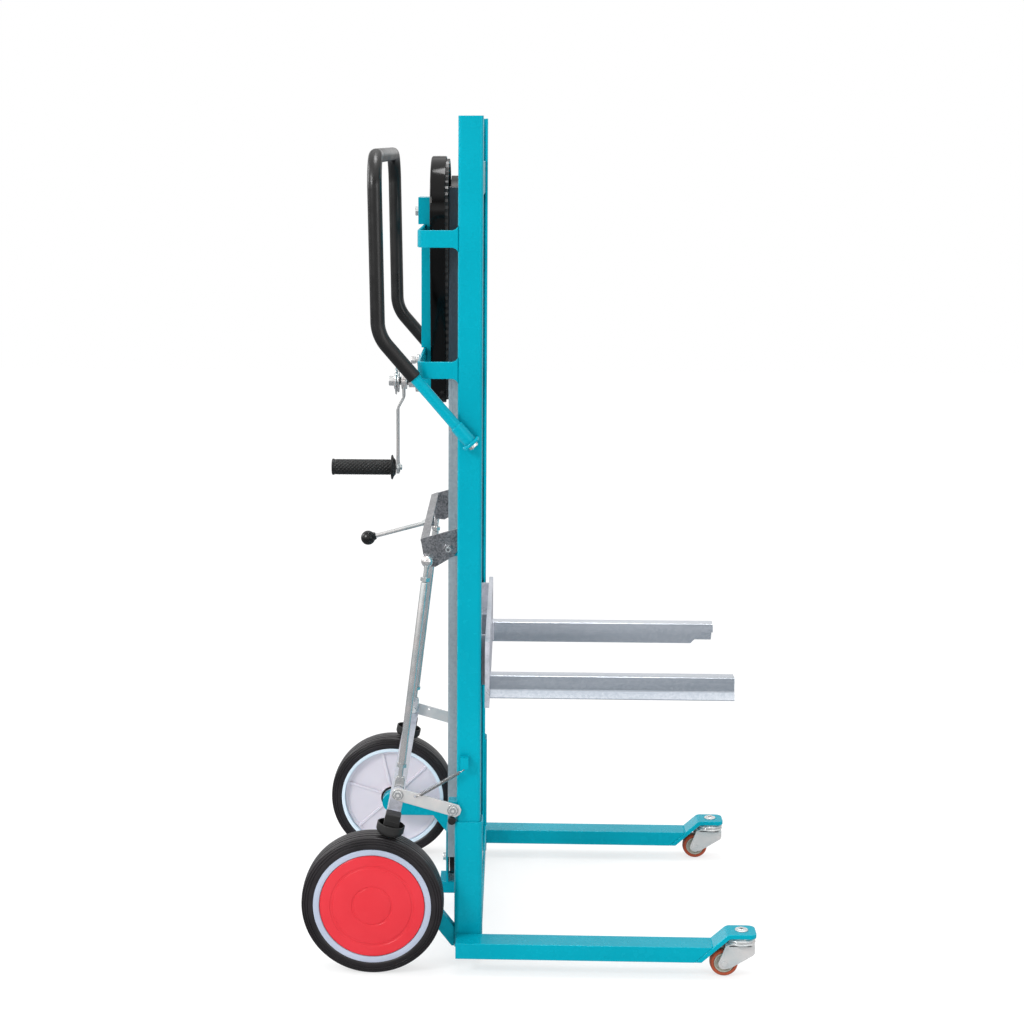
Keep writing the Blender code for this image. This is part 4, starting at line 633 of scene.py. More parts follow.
def toothed_belt():
    low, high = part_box("lift_belt")
    outer = (high.y - low.y) / 2
    track = Track(low.z + outer, outer - BELT_THICK, high.z - outer, outer - BELT_THICK)
    count = int(track.length / BELT_PITCH)
    pitch = track.length / count
    outside, inside = [], []
    for k in range(count):
        for share, depth in ((0.0, 0.0), (0.14, 0.0019), (0.5, 0.0019), (0.64, 0.0)):
            outside.append(track.spot((k + share) * pitch, BELT_THICK))
            inside.append(track.spot((k + share) * pitch, 0.0004 + depth))
    bm = bmesh.new()
    loops = []
    for outline, place in ((outside, low.x), (outside, high.x), (inside, high.x), (inside, low.x)):
        loops.append([bm.verts.new((place, y, z)) for y, z in outline])
    skin(bm, loops + loops[:1])
    piece("toothed_belt", closed(bm), BELT, "mast_frame", ("lift_belt",))
    for node, body in (("top_pulley", "top_drive"), ("bottom_pulley", "lower_pulley")):
        toothed_pulley(node, body)


def toothed_pulley(node, body):
    low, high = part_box(node)
    centre = (low + high) / 2
    radius = (high.z - low.z) / 2
    half = (high.x - low.x) / 2
    bore, boss, rim = 0.0085, 0.016, radius - 0.0004
    profile = [(bore, -half), (boss, -half), (boss, -half + 0.003), (rim - 0.008, -half + 0.003)]
    profile += [(rim - 0.008, -half), (rim, -half), (rim, half), (rim - 0.008, half)]
    profile += [(rim - 0.008, half - 0.004), (boss, half - 0.004), (boss, half), (bore, half)]
    shapes = [turned(soft(profile, 0.0006), "X", centre, 72)]
    for k in range(6):
        angle = math.pi / 3 * k
        at = centre + Vector((0, math.cos(angle), math.sin(angle))) * radius * 0.58
        shapes.append(washer("X", at, 0.009, 0.0055, half - 0.0055, half - 0.002, 28))
    piece(f"{node}_wheel", joined(*shapes), BELT, body, (node,))


def roller_chain():
    low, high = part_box("drive_chain")
    crank_z = centre_of("crank_shaft").z
    top_z = centre_of("large_sprocket").z
    half_height, link = 0.004, 0.0037
    reach = (high.y - low.y) / 2
    track = Track(crank_z, crank_z - low.z - half_height, top_z, reach - half_height)
    count = 2 * round(track.length / CHAIN_PITCH / 2)
    pitch = track.length / count
    middle = (low.x + high.x) / 2
    shapes = []
    for k in range(count):
        start, end = (Vector(track.spot(step * pitch)) for step in (k, k + 1))
        place = (middle, *start)
        shapes.append(rod("X", place, 0.0036, -0.0026, 0.0026, 12))
        shapes.append(rod("X", place, 0.0016, -0.0040, 0.0040, 8, 0.0002))
        ahead = (end - start).normalized()
        side = Vector((-ahead.y, ahead.x))
        outline = []
        for origin, size in ((end, link), (start, -link)):
            for share in range(7):
                angle = math.pi * share / 6
                outline.append(origin + (side * math.cos(angle) + ahead * math.sin(angle)) * size)
        face = 0.0036 if k % 2 else 0.0027
        for sign in (-1, 1):
            near, far = sorted((middle + sign * (face - 0.0008), middle + sign * face))
            shapes.append(prism(outline, "X", near, far))
    piece("roller_chain", joined(*shapes), CHAIN, "mast_frame", ("drive_chain",))


def case_track():
    """The outline of the drive case as a path."""
    low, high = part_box("drive_case")
    reach = (high.y - low.y) / 2
    crank_z = centre_of("crank_shaft").z
    return Track(crank_z, crank_z - low.z, high.z - reach, reach)


def chain_edge():
    """The serrated run of the chain that shows between the open side of the case and the column."""
    track = case_track()
    start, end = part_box("drive_case")[1].x - 0.001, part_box("lift_column")[0].x - 0.0004
    face, corner, depth = 0.0050, 0.0056, 0.0120
    count = 2 * int(track.length / CHAIN_PITCH)
    bm = bmesh.new()
    loops = []
    for place, inward in ((start, face), (end - 0.0006, face), (end, corner), (end, depth), (start, depth)):
        loop = []
        for k in range(count):
            notch = 0.0022 if k % 2 and inward < depth else 0.0
            loop.append(bm.verts.new((place, *track.spot(track.length * k / count, -inward - notch))))
        loops.append(loop)
    skin(bm, loops + loops[:1])
    piece("chain_edge", closed(bm), CHAIN, "mast_frame")


def large_sprocket():
    low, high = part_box("large_sprocket")
    centre = (low + high) / 2
    tip, teeth = 0.0845, 36
    root = tip - 0.0052
    outline = gear_outline(centre, teeth, ((0.0, root), (0.22, root), (0.42, tip), (0.58, tip), (0.8, root)))
    disc = prism(outline, "X", low.x + 0.0012, high.x - 0.0012, 0.0005)
    boss = washer("X", centre, 0.018, 0.0084, low.x - centre.x, high.x - centre.x + 0.001)
    piece("large_gear", joined(disc, boss), ZINC, "top_drive", ("large_sprocket",))


def drive_case():
    """A tray with a rounded edge, open toward the column."""
    low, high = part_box("drive_case")
    track = case_track()
    wall, edge, lip, count = 0.0025, 0.004, 0.0006, 150
    rows = [(low.x, -edge - 0.004), (low.x, -edge)]
    for angle in (0.4, 0.8, 1.2, math.pi / 2):
        rows.append((low.x + edge - edge * math.cos(angle), -edge + edge * math.sin(angle)))
    rows += [(high.x - lip, 0), (high.x, -lip), (high.x, -wall + lip), (high.x - lip, -wall)]
    rows += [(low.x + edge, -wall), (low.x + wall, -edge), (low.x + wall, -edge - 0.004)]
    bm = bmesh.new()
    loops = []
    for x, offset in rows:
        spots = (track.spot(track.length * k / count, offset) for k in range(count))
        loops.append([bm.verts.new((x, y, z)) for y, z in spots])
    piece("drive_cover", capped(bm, loops), SHELL, "mast_frame", ("drive_case",), 40)


# Rear wheels


def tyre_profile(radius, half, rim):
    """A side wall with its ridges, the ribs of the tread, and the other side wall."""
    ridges = (
        (0.0002, 0.0040), (0.0028, 0.0014), (0.0050, 0), (0.0108, 0), (0.0112, 0.0016), (0.0122, 0.0018),
        (0.0126, 0.0006), (0.0152, 0.0010), (0.0156, 0.0028), (0.0166, 0.0032), (0.0170, 0.0018),
        (0.0194, 0.0028), (0.0197, 0.0048), (0.0206, 0.0052), (0.0210, 0.0038),
    )
    wall = [(rim + rise, inset - half) for rise, inset in ridges]
    wall += [(radius - 0.0018, 0.0056 - half), (radius - 0.0006, 0.0070 - half)]
    groove, rib, spacing, camber, slope = 0.0022, 0.0066, 0.0086, 0.0022, 0.0005
    tread = []
    for k in range(-2, 3):
        middle = k * spacing
        crown = radius - camber * (middle / half) ** 2
        tread += [(crown - groove, middle - rib / 2 - slope), (crown, middle - rib / 2)]
        tread += [(crown, middle + rib / 2), (crown - groove, middle + rib / 2 + slope)]
    return wall + tread + [(r, -y) for r, y in reversed(wall)]


def wheel_part(profile, side, edge, centre, steps=128, softening=3):
    """A profile with the wheel's outer face at its positive end, turned round the axle."""
    facing = [(r, side * y) for r, y in profile]
    return turned(soft(facing, edge, softening), "Y", centre, steps)


def rear_wheel(where, side):
    low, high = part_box(f"tyre_{where}")
    centre = (low + high) / 2
    radius, half = (high.z - low.z) / 2, (high.y - low.y) / 2
    rim, cap_radius = radius_of(f"rim_{where}"), radius_of(f"wheel_cap_{where}")
    body = f"wheel_{where}"
    tyre = wheel_part(tyre_profile(radius, half, rim), side, 0.00035, centre, 160, 2)
    piece(f"tyre_tread_{where}", tyre, TYRE, body, (f"tyre_{where}",), 50)

    lip = rim + 0.0022
    barrel = [(rim - 0.004, -half + 0.012), (rim - 0.0045, -half + 0.002), (rim - 0.0035, -half + 0.0006)]
    barrel += [(lip, -half + 0.0008), (lip + 0.0003, -half + 0.0018), (rim, -half + 0.0045)]
    barrel += [(rim, half - 0.0045), (lip + 0.0003, half - 0.0018), (lip, half - 0.0006)]
    barrel += [(rim - 0.003, half - 0.0001), (cap_radius + 0.002, half - 0.0008)]
    barrel += [(cap_radius + 0.0008, half - 0.002), (cap_radius + 0.0008, half - 0.007)]
    barrel += [(rim - 0.012, half - 0.008), (rim - 0.012, -half + 0.014)]
    ring = wheel_part(barrel, side, 0.0008, centre)
    piece(f"rim_ring_{where}", ring, RIMS[where], body, (f"rim_{where}",))

    dish = -half + 0.0125
    plate = [(0.0108, half - 0.014), (0.0108, -half + 0.0015), (0.0225, -half + 0.0015), (0.0235, dish)]
    plate += [(rim - 0.011, dish + 0.001), (rim - 0.0045, dish - 0.004), (rim - 0.0045, dish + 0.004)]
    plate += [(rim - 0.013, dish + 0.006), (0.024, dish + 0.006), (0.023, half - 0.014)]
    shapes = [wheel_part(plate, side, 0.001, centre)]
    rib = [(0.022, dish + 0.002), (0.024, dish - 0.0040), (0.045, dish - 0.0026)]
    rib += [(rim - 0.007, dish - 0.0018), (rim - 0.007, dish + 0.002)]
    lay = axes((1, 0, 0), (0, 0, 1), (0, side, 0), (0, 0, 0))
    for k in range(WHEEL_RIBS):
        shape = prism(rib, "Y", -0.0030, 0.0030, 0.0012)
        turn = Matrix.Rotation(2 * math.pi * k / WHEEL_RIBS + RIB_START, 4, "Y")
        shape.transform(Matrix.Translation(centre) @ turn @ lay)
        shapes.append(closed(shape))
    piece(f"wheel_disc_{where}", joined(*shapes), DISC, body)
    hub = washer("Y", centre, 0.0232, 0.0196, *sorted((side * (-half + 0.0003), side * (-half + 0.004))))
    piece(f"hub_seal_{where}", hub, GRIP, body)

    face = half - 0.0012
    cap = [(0, face - 0.005), (cap_radius, face - 0.005), (cap_radius, face - 0.0012)]
    cap += [(cap_radius - 0.0014, face), (0.0745, face + 0.0002), (0.0735, face - 0.0008)]
    cap += [(0.0695, face - 0.0008), (0.0685, face + 0.0003), (0.0365, face + 0.0004)]
    cap += [(0.0355, face - 0.0006), (0.033, face - 0.0006), (0.032, face + 0.0004), (0, face + 0.0005)]
    shape = wheel_part(cap, side, 0.0005, centre)
    piece(f"red_disc_{where}", shape, RED, body, (f"wheel_cap_{where}",), 40)


# Front casters


def caster(where):
    low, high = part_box(f"caster_tyre_{where}")
    axle = (low + high) / 2
    radius, half = (high.z - low.z) / 2, (high.y - low.y) / 2
    core = radius_of(f"caster_hub_{where}")
    wheel, body = f"caster_wheel_{where}", f"caster_{where}"
    tread = [(core + 0.0004, -half), (radius - 0.003, -half), (radius - 0.0008, -half + 0.0025), (radius, 0)]
    tread += [(r, -y) for r, y in reversed(tread[:3])]
    shape = turned(soft(tread, 0.0014), "Y", axle, 72)
    piece(f"caster_tread_{where}", shape, BROWN, wheel, (f"caster_tyre_{where}",), 50)
    hub = [(0.0044, -half + 0.0003), (0.0075, -half + 0.0003), (0.0085, -half + 0.003)]
    hub += [(core - 0.004, -half + 0.0032), (core - 0.002, -half + 0.0008), (core, -half + 0.0008)]
    hub += [(r, -y) for r, y in reversed(hub)]
    shape = turned(soft(hub, 0.0006), "Y", axle, 72)
    piece(f"caster_core_{where}", shape, HUB, wheel, (f"caster_hub_{where}",))

    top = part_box(f"caster_strap_{where}")[1].z
    race = top - 0.0083
    shelf = race - 0.0135
    pivot = Vector((frame_joint(f"caster_{where}_swivel")[0], axle.y, 0))
    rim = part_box(f"caster_fork_{where}")[1].x - pivot.x
    profile = [(0, shelf), (rim - 0.0040, shelf), (rim - 0.0008, race - 0.0124), (rim, race - 0.0104)]
    profile += [(rim - 0.0004, race - 0.0090), (rim - 0.0030, race - 0.0080), (rim - 0.0030, race - 0.0070)]
    profile += [(rim - 0.0002, race - 0.0062), (rim - 0.0002, race - 0.0042), (rim - 0.0018, race - 0.0028)]
    profile += [(rim - 0.0040, race - 0.0022), (rim - 0.0044, race - 0.0010), (rim - 0.0100, race)]
    profile += [(0.0048, race), (0.0048, race + 0.0085), (0, race + 0.0085)]
    head = turned(soft(profile, 0.0009, 4), "Z", pivot, 80)
    outer = half + 0.0045
    front, rear = pivot.x + rim - 0.002, axle.x + 0.002
    left, right = axle.y - outer, axle.y + outer
    crown = filleted([(rear, left), (front, left), (front, right), (rear, right)], 0.006, 6, closed_loop=True)
    shapes = [head, prism(crown, "Z", shelf - 0.004, shelf + 0.0008, 0.0007)]
    nose = [(front, shelf - 0.003), (front, axle.z + 0.0180), (axle.x + 0.010, axle.z - 0.0085)]
    cheek = [(rear, shelf - 0.001), (front, shelf - 0.001)]
    cheek += [tuple(p) for p in filleted(nose, 0.008, 6)]
    cheek += arc((axle.x, axle.z), 0.0102, -60, -196, 12)
    pin = (axle.x, 0, axle.z)
    for sign in (-1, 1):
        inside, under, outside, head_face = (
            axle.y + sign * (outer + step) for step in (-0.0022, -0.0005, 0.0, 0.0019)
        )
        shapes.append(prism(cheek, "Y", *sorted((inside, outside)), 0.0005))
        shapes.append(hex_head("Y", pin, 0.0095, under, head_face))
        face = sorted((axle.y + sign * (outer - 0.0002), axle.y + sign * (outer + 0.0006)))
        shapes.append(washer("Y", pin, 0.0066, 0.002, *face))
    shapes.append(rod("Y", pin, 0.004, left, right, 20))
    piece(f"caster_bracket_{where}", joined(*shapes), PLATED, body, (f"caster_fork_{where}",))
    stages = ((0, 0.0014), (0.0040, 0.0014), (0.0042, 0.0040), (0.0066, 0.0040), (0.0074, 0.0030))
    stages += ((0.0076, 0.0020), (0.0112, 0.0018), (0.0114, 0.0003), (0, 0.0003))
    bolt = turned(soft([(r, top + rise) for r, rise in stages], 0.0004), "Z", pivot, 56)
    piece(f"caster_bolt_{where}", bolt, PLATED, body)
    # Painted shade: a dark hexagon set into the bolt's recess stands for the shade deep inside a hex socket
    socket = rod("Z", pivot, 0.0040, top + 0.0010, top + 0.0022, 6, 0.0002)
    piece(f"caster_socket_shade_{where}", socket, CHAIN, body)


# Push handle


def mirrored(points):
    return [Vector((p.x, -p.y, p.z)) for p in reversed(points)]


def push_handle():
    low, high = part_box("handle_sleeve")
    y = high.y - HANDLE_SLEEVE
    foot, knee = (mast(x, -y, z) for x, z in (HANDLE_FOOT, HANDLE_KNEE))
    top = mast(HANDLE_TOP_X, -y, high.z - HANDLE_SLEEVE + 0.0003)
    bends = filleted([foot, knee, top], 0.065, 14)[:-1]
    corner = filleted([bends[-1], top, mirrored([top])[0], mirrored([bends[-1]])[0]], 0.055, 18)
    path = bends[:-1] + corner + mirrored(bends)[1:]
    slope = (path[1] - path[0]).normalized()
    start = path[0] + slope * (low.z - path[0].z + 0.009) / slope.z
    covered = [start] + path[1:-1] + mirrored([start])
    shapes = [swept(path, HANDLE_TUBE, 28)]
    wall = abs(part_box("upright_far")[1].y)
    for mirror in (1, -1):
        foot, rim = (Vector((p.x, p.y * mirror, p.z)) for p in (path[0], path[0] + slope * 0.036))
        stages = [foot - (rim - foot) * 0.10, foot, foot.lerp(rim, 0.97), rim]
        shapes.append(swept(stages, [0.0112, 0.0116, 0.0114, 0.0104], 28))
        shapes.append(swept([Vector((foot.x, -mirror * wall, foot.z)), foot], 0.0108, 24))
    piece("handle_frame", joined(*shapes), TEAL, "mast_frame", ("handle_tube",))
    lips = [covered[0]] + covered + [covered[-1]]
    lips[1] = covered[0].lerp(covered[1], 0.02)
    lips[-2] = covered[-1].lerp(covered[-2], 0.02)
    mouth = HANDLE_SLEEVE - 0.0012
    foam = swept(lips, [mouth] + [HANDLE_SLEEVE] * len(covered) + [mouth], 32, bore=0.0098)
    piece("handle_foam", foam, FOAM, "mast_frame", ("handle_sleeve",))
    for where, side in SIDES.items():
        handle_fixing(where, *(Vector((p.x, -side * p.y, p.z)) for p in (path[0], slope)))


def handle_fixing(where, foot, upward):
    """The lumpy weld round the handle's foot, and the bolt in the tube's end."""
    across = Vector((0, 1, 0))
    facing = upward.cross(across).normalized()
    end = foot - upward * 0.0036
    ring = []
    for k in range(33):
        angle = 2 * math.pi * k / 32
        size = 0.0136 + 0.0014 * math.sin(3 * angle) * math.sin(0.7 + angle)
        ring.append(end + (facing * math.cos(angle) + across * math.sin(angle)) * size)
    bead(f"handle_weld_{where}", ring, 0.0036)
    head = hex_head("Z", (0, 0, 0), 0.0150, 0.0, -0.0072, 0.0, 0.26)
    bolt = joined(head, rod("Z", (0, 0, 0), 0.0098, -0.0012, 0.004, 32))
    bolt.transform(axes(facing, across, upward, end - upward * 0.0012))
    piece(f"handle_bolt_{where}", closed(bolt), ZINC, "mast_frame")


# Crank


def crank():
    shaft_low, shaft_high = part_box("crank_shaft")
    disc_low, disc_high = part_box("pressure_disc")
    place = Vector((0, 0, centre_of("pressure_disc").z))
    nut = hex_head("X", place, 0.0175, disc_low.x - 0.0003, shaft_low.x + 0.0004, 0.004)
    flanks = 80
    length = shaft_high.x - disc_low.x
    thread = [(0, disc_low.x)]
    thread += [(0.0079 if k % 2 else 0.0072, disc_low.x + length * k / flanks) for k in range(flanks)]
    thread += [(0.0078, shaft_high.x), (0, shaft_high.x)]
    spindle = turned(thread, "X", place, 36)
    middle = mast(RATCHET_X, 0, 0).x
    teeth = gear_outline(place, 14, ((0.0, 0.0155), (0.85, 0.0200), (0.95, 0.0200)))
    ratchet = prism(teeth, "X", middle - 0.004, middle + 0.004, 0.0004)
    hub = washer("X", place, 0.012, 0.0080, mast(RATCHET_HUB_X, 0, 0).x, middle - 0.0042)
    gear_low, gear_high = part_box("large_sprocket")
    root, tip = 0.0186, 0.0216
    teeth = gear_outline(place, 11, ((0.0, root), (0.25, root), (0.42, tip), (0.58, tip), (0.8, root)))
    pinion = prism(teeth, "X", gear_low.x + 0.0008, gear_high.x - 0.0008, 0.0004)
    shape = joined(nut, spindle, ratchet, hub, pinion)
    piece("crank_spindle", shape, ZINC, "crank", ("crank_shaft",))

    radius = (disc_high.z - disc_low.z) / 2
    profile = [(0.0084, 0), (0.014, 0), (0.016, 0.0016), (radius - 0.001, 0.0026), (radius, 0.0042)]
    profile += [(radius - 0.001, 0.0052), (0.0165, 0.0052), (0.0165, 0.0064), (radius - 0.005, 0.0066)]
    profile += [(radius - 0.004, 0.0096), (0.0084, 0.0098)]
    discs = turned(soft([(r, disc_low.x + x) for r, x in profile], 0.0005), "X", place, 64)
    piece("brake_discs", discs, ZINC, "crank", ("pressure_disc",))
    grip_z = centre_of("crank_grip").z
    crank_lever(place, Vector((0, 0, grip_z)))
    crank_grip(grip_z)


def crank_lever(hub, eye):
    """The cranked flat bar, its boss on the spindle and the grip's pin with its bolt."""
    hub_x, arm_x = mast(CRANK_HUB_X, 0, 0).x, mast(CRANK_ARM_X, 0, 0).x
    path = [(hub_x, hub.z + 0.010), (hub_x, hub.z - 0.030), (arm_x, hub.z - 0.050), (arm_x, eye.z - 0.0105)]
    line = filleted(path, 0.012, 8)
    thick = 0.0025
    sides = []
    for offset in (-thick, thick):
        edge = []
        for i, spot in enumerate(line):
            ahead = (line[min(i + 1, len(line) - 1)] - line[max(i - 1, 0)]).normalized()
            edge.append(spot + Vector((ahead.y, -ahead.x)) * offset)
        sides.append(edge)
    face = arm_x + thick
    shape = joined(
        prism(sides[0] + sides[1][::-1], "Y", -0.0105, 0.0105, 0.0009),
        rod("X", eye, 0.0122, arm_x - thick, face, 44, 0.0008),
        washer("X", hub, 0.0150, 0.0083, hub_x - 0.004, hub_x + 0.006),
        rod("X", eye, 0.0048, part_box("crank_grip")[0].x + 0.006, arm_x, 24),
        hex_head("X", eye, 0.0095, face, face + 0.0049),
        washer("X", eye, 0.0088, 0.003, face, face + 0.0012),
    )
    piece("crank_lever", shape, ZINC, "crank", ("crank_arm",), 30)


def crank_grip(z):
    """A rubber grip with a plaited surface between a rim and a bell-shaped flange."""
    low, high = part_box("crank_grip")
    flange = high.x - 0.0085
    body_start, body_end = low.x + 0.006, flange - 0.001
    strand = 0.00733
    count = 12

    def plait(angle, place):
        """Strands that pass over and under each other on two crossing diagonals."""
        if not body_start < place < body_end:
            return 0.0
        edge = min(1.0, (place - body_start) / 0.002, (body_end - place) / 0.002)
        across = count * angle / (2 * math.pi)
        first, second = place / strand + across, place / strand - across
        over = (math.floor(first) + math.floor(second)) % 2
        ridge = abs(math.sin(math.pi * (first if over else second))) ** 0.6
        dip = abs(math.sin(math.pi * (second if over else first))) ** 0.35
        return edge * (0.0016 * ridge * dip - 0.0010)

    rows, bore = 200, 0.0053
    first = low.x + 0.0055
    profile = [(bore, low.x), (0.0128, low.x), (0.0150, low.x + 0.001), (0.0152, low.x + 0.0035)]
    profile.append((0.0142, low.x + 0.005))
    profile += [(0.0139, first + (flange - 0.0005 - first) * k / rows) for k in range(rows + 1)]
    profile += [(0.0215, flange), (0.0229, flange + 0.0012), (0.0226, flange + 0.0028)]
    profile += [(0.0175, flange + 0.0048), (0.0135, high.x - 0.0004), (bore, high.x)]
    shape = turned(profile, "X", (0, 0, z), 192, swell=plait)
    piece("plaited_grip", shape, GRIP, "crank_handgrip", ("crank_grip",), 60)


# Brake


def brake():
    knob_low, knob_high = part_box("lever_knob")
    knob = (knob_low + knob_high) / 2
    radius = (knob_high.y - knob_low.y) / 2
    ball = turned(ball_profile(radius, radius, 28), "X", knob, 44)
    lever_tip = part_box("brake_lever")[1]
    end = Vector((lever_tip.x, 0, lever_tip.z - 0.004))
    toward = (end - knob).normalized()
    collar = swept([knob + toward * 0.0110, knob + toward * 0.0150], [0.0078, 0.0062], 32)
    piece("ball_knob", joined(ball, collar), KNOB, "rocker", ("lever_knob",), 50)
    meet = knob + toward * ((mast(ROCKER_WEB_X, 0, 0).x - knob.x) / toward.x)
    stages = [knob + toward * 0.004, meet - toward * 0.0125, meet - toward * 0.0124]
    stages += [end - toward * 0.002, end]
    shape = swept(stages, [0.0040] * 4 + [0.0034], 28)
    nut = swept([meet - toward * 0.0062, meet - toward * 0.0008], 0.0072, 6)
    piece("lever_bar", joined(shape, nut), ZINC, "rocker", ("brake_lever",))
    for where, side in SIDES.items():
        push_rod(where, side)
        link_bolts(where, side)
        rocker_bolt(where, side)
        brake_shoe(where, side)
    link_stops()
    return_spring()


def push_rod(where, side):
    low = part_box(f"brake_rod_{where}")[0]
    top = Vector(frame_joint(f"rod_{where}_swing"))
    foot = Vector((low.x + 0.011, side * ROD_FOOT_Y, low.z + 0.011))
    down = (foot - top).normalized()
    length = (foot - top).length
    thin, thick = 0.0042, 0.0065
    stages = [(0.0045, 0.0046), (0.014, 0.0046), (0.0145, thin), (0.030, thin), (0.0365, thin)]
    stages += [(0.0370, 0.0063), (0.0385, thick), (length - 0.0525, thick), (length - 0.051, 0.0063)]
    stages += [(length - 0.0505, thin), (length - 0.018, thin)]
    shapes = [swept([top + down * place for place, _ in stages], [radius for _, radius in stages], 28)]
    shapes.append(turned(ball_profile(0.0106, 0.0088, 16), "Y", top, 36))
    for place in (0.0285, length - 0.0505):
        shapes.append(swept([top + down * place, top + down * (place + 0.0065)], 0.0085, 6))
    shapes.append(clevis(foot, -down))
    piece(f"push_rod_{where}", joined(*shapes), ZINC, f"rod_{where}", (f"brake_rod_{where}",))


def clevis(foot, up):
    """The rod's foot: a rounded block on the link's bolt that narrows to the rod."""
    across = Vector((0, 1, 0))
    shoulders = [(0.0086, 0.020), (0.0062, 0.027), (-0.0062, 0.027), (-0.0086, 0.020)]
    shape = prism(arc((0, 0), 0.0086, 180, 360, 12) + shoulders, "Y", -0.0039, 0.0039, 0.0007)
    shape.transform(axes((-up).cross(across).normalized(), across, up, foot))
    return closed(shape)


def link_face(where, side):
    """The place on Y of a link's outer face."""
    low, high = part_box(f"brake_link_{where}")
    return high.y if side > 0 else low.y


def link_bolts(where, side):
    outer = link_face(where, side)
    face = outer - side * 0.0055
    pivot = frame_joint("brake_swing")
    rear = mast(*LINK_REAR)
    for name, x, z in (("front", pivot[0], pivot[2]), ("rear", rear.x, rear.z)):
        head = hex_head("Y", (x, 0, z), 0.0125, face, outer + side * 0.0002, 0.0026, 0.4)
        rim = washer("Y", (x, 0, z), 0.0098, 0.003, *sorted((face - side * 0.0002, face + side * 0.0013)))
        piece(f"link_bolt_{name}_{where}", joined(head, rim), ZINC, "brake")


def rocker_bolt(where, side):
    pivot = frame_joint("rocker_tilt")
    face = side * ROCKER_BOLT_Y
    head = hex_head("Y", (pivot[0], 0, pivot[2]), 0.0100, face, face + side * 0.0060, 0.0024, 0.2)
    rim = washer("Y", (pivot[0], 0, pivot[2]), 0.0078, 0.003, *sorted((face, face + side * 0.0013)))
    piece(f"rocker_bolt_{where}", joined(head, rim), ZINC, "rocker")


def brake_shoe(where, side):
    """A round rubber cup pressed on the tyre, with the block in it that holds the brake bar."""
    low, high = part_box(f"brake_shoe_{where}")
    axle = centre_of(f"tyre_{where}")
    radius = (high.y - low.y) / 2
    base = radius_of(f"tyre_{where}") + 0.0004
    profile = [(0, base), (radius - 0.010, base + 0.0006), (radius - 0.003, base + 0.004)]
    profile += [(radius - 0.0002, base + 0.009), (radius, base + 0.0212), (radius - 0.0026, base + 0.0217)]
    profile += [(radius - 0.0032, base + 0.010), (radius - 0.007, base + 0.006), (0, base + 0.006)]
    half = 0.0135
    square = [(-half, -half), (half, -half), (half, half), (-half, half)]
    square = filleted(square, 0.0018, 4, closed_loop=True)
    shapes = [turned(soft(profile, 0.0009, 4), "Z", (0, 0, 0), 64)]
    shapes.append(prism(square, "Z", base + 0.005, base + 0.0405, 0.0012))
    for rise in (0.0204, 0.0274):
        shapes.append(prism([p * 1.03 for p in square], "Z", base + rise, base + rise + 0.0018, 0.0005))
    shape = joined(*shapes)
    lean = Matrix.Rotation(math.radians(SHOE_LEAN), 4, "Y")
    shape.transform(Matrix.Translation((axle.x, (low.y + high.y) / 2, axle.z)) @ lean)
    piece(f"rubber_shoe_{where}", shape, SHOE, "brake", (f"brake_shoe_{where}",), 40)


def link_stops():
    """A rubber stop under each link's front end."""
    pivot = frame_joint("brake_swing")
    place = (pivot[0] - 0.0022, 0, pivot[2] - 0.0215)
    for where, side in SIDES.items():
        outer = link_face(where, side)
        stop = rod("Y", place, 0.0068, *sorted((outer - side * 0.019, outer - side * 0.008)), 36, 0.0014)
        piece(f"link_stop_{where}", stop, GRIP, "mast_frame")


def return_spring():
    """The coil between the near link and the lug on the upright, with a hook at each end."""
    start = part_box("brake_spring")[0] + Vector((0.0035, 0.0035, 0.0035))
    end = mast(*SPRING_LUG)
    ahead = (end - start).normalized()
    side = ahead.orthogonal().normalized()
    other = ahead.cross(side)
    body_start, body_end = start + ahead * 0.008, end - ahead * 0.010
    length = (body_end - body_start).length
    wire, coil = 0.00092, 0.0028
    turns = int(length / (wire * 2.9))
    steps = turns * 14
    points = [start + Vector((0, 0.008, 0)), start, body_start - ahead * 0.001]
    for k in range(steps + 1):
        angle = 2 * math.pi * turns * k / steps
        around = (side * math.cos(angle) + other * math.sin(angle)) * coil
        points.append(body_start + ahead * length * k / steps + around)
    points += [body_end + ahead * 0.002, end, end + Vector((0, 0, 0.009)), end + Vector((0.003, 0, 0.012))]
    made = piece("coil_spring", swept(points, wire, 8), SPRING, None, ("brake_spring",), 60)
    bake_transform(made)


# Fixings and welds on the mast


def mast_fixings():
    shaft_low, shaft_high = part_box("top_shaft")
    case_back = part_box("drive_case")[0].x
    spot = (0, 0, centre_of("top_shaft").z)
    head_face, journal = shaft_low.x + 0.006, 0.0079
    head = hex_head("X", spot, 0.0165, head_face, shaft_low.x)
    shape = joined(head, rod("X", spot, journal, head_face, case_back + 0.001, 36))
    piece("upper_spindle", shape, ZINC, "top_drive", ("top_shaft",))
    inner = rod("X", spot, journal, case_back + 0.0012, shaft_high.x, 36)
    piece("spindle_front", inner, BELT, "top_drive")
    low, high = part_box("winch_bolt")
    spot = (0, 0, (low.z + high.z) / 2)
    stack = joined(
        hex_head("X", spot, 0.0125, high.x - 0.012, low.x, 0.0028),
        washer("X", spot, 0.0108, 0.003, high.x - 0.0085, high.x - 0.0045),
        rod("X", spot, 0.005, high.x - 0.012, high.x, 28),
    )
    piece("pawl_bolt", stack, ZINC, "mast_frame", ("winch_bolt",))
    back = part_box("lift_column")[0].x - 0.0046
    spot = (0, 0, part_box("tension_bracket")[0].z + 0.062)
    screw = joined(
        hex_head("X", spot, 0.0122, back - 0.0006, back - 0.0068, 0.0026),
        washer("X", spot, 0.0086, 0.003, back - 0.0016, back),
    )
    piece("tension_screw", screw, PLATED, "mast_frame")


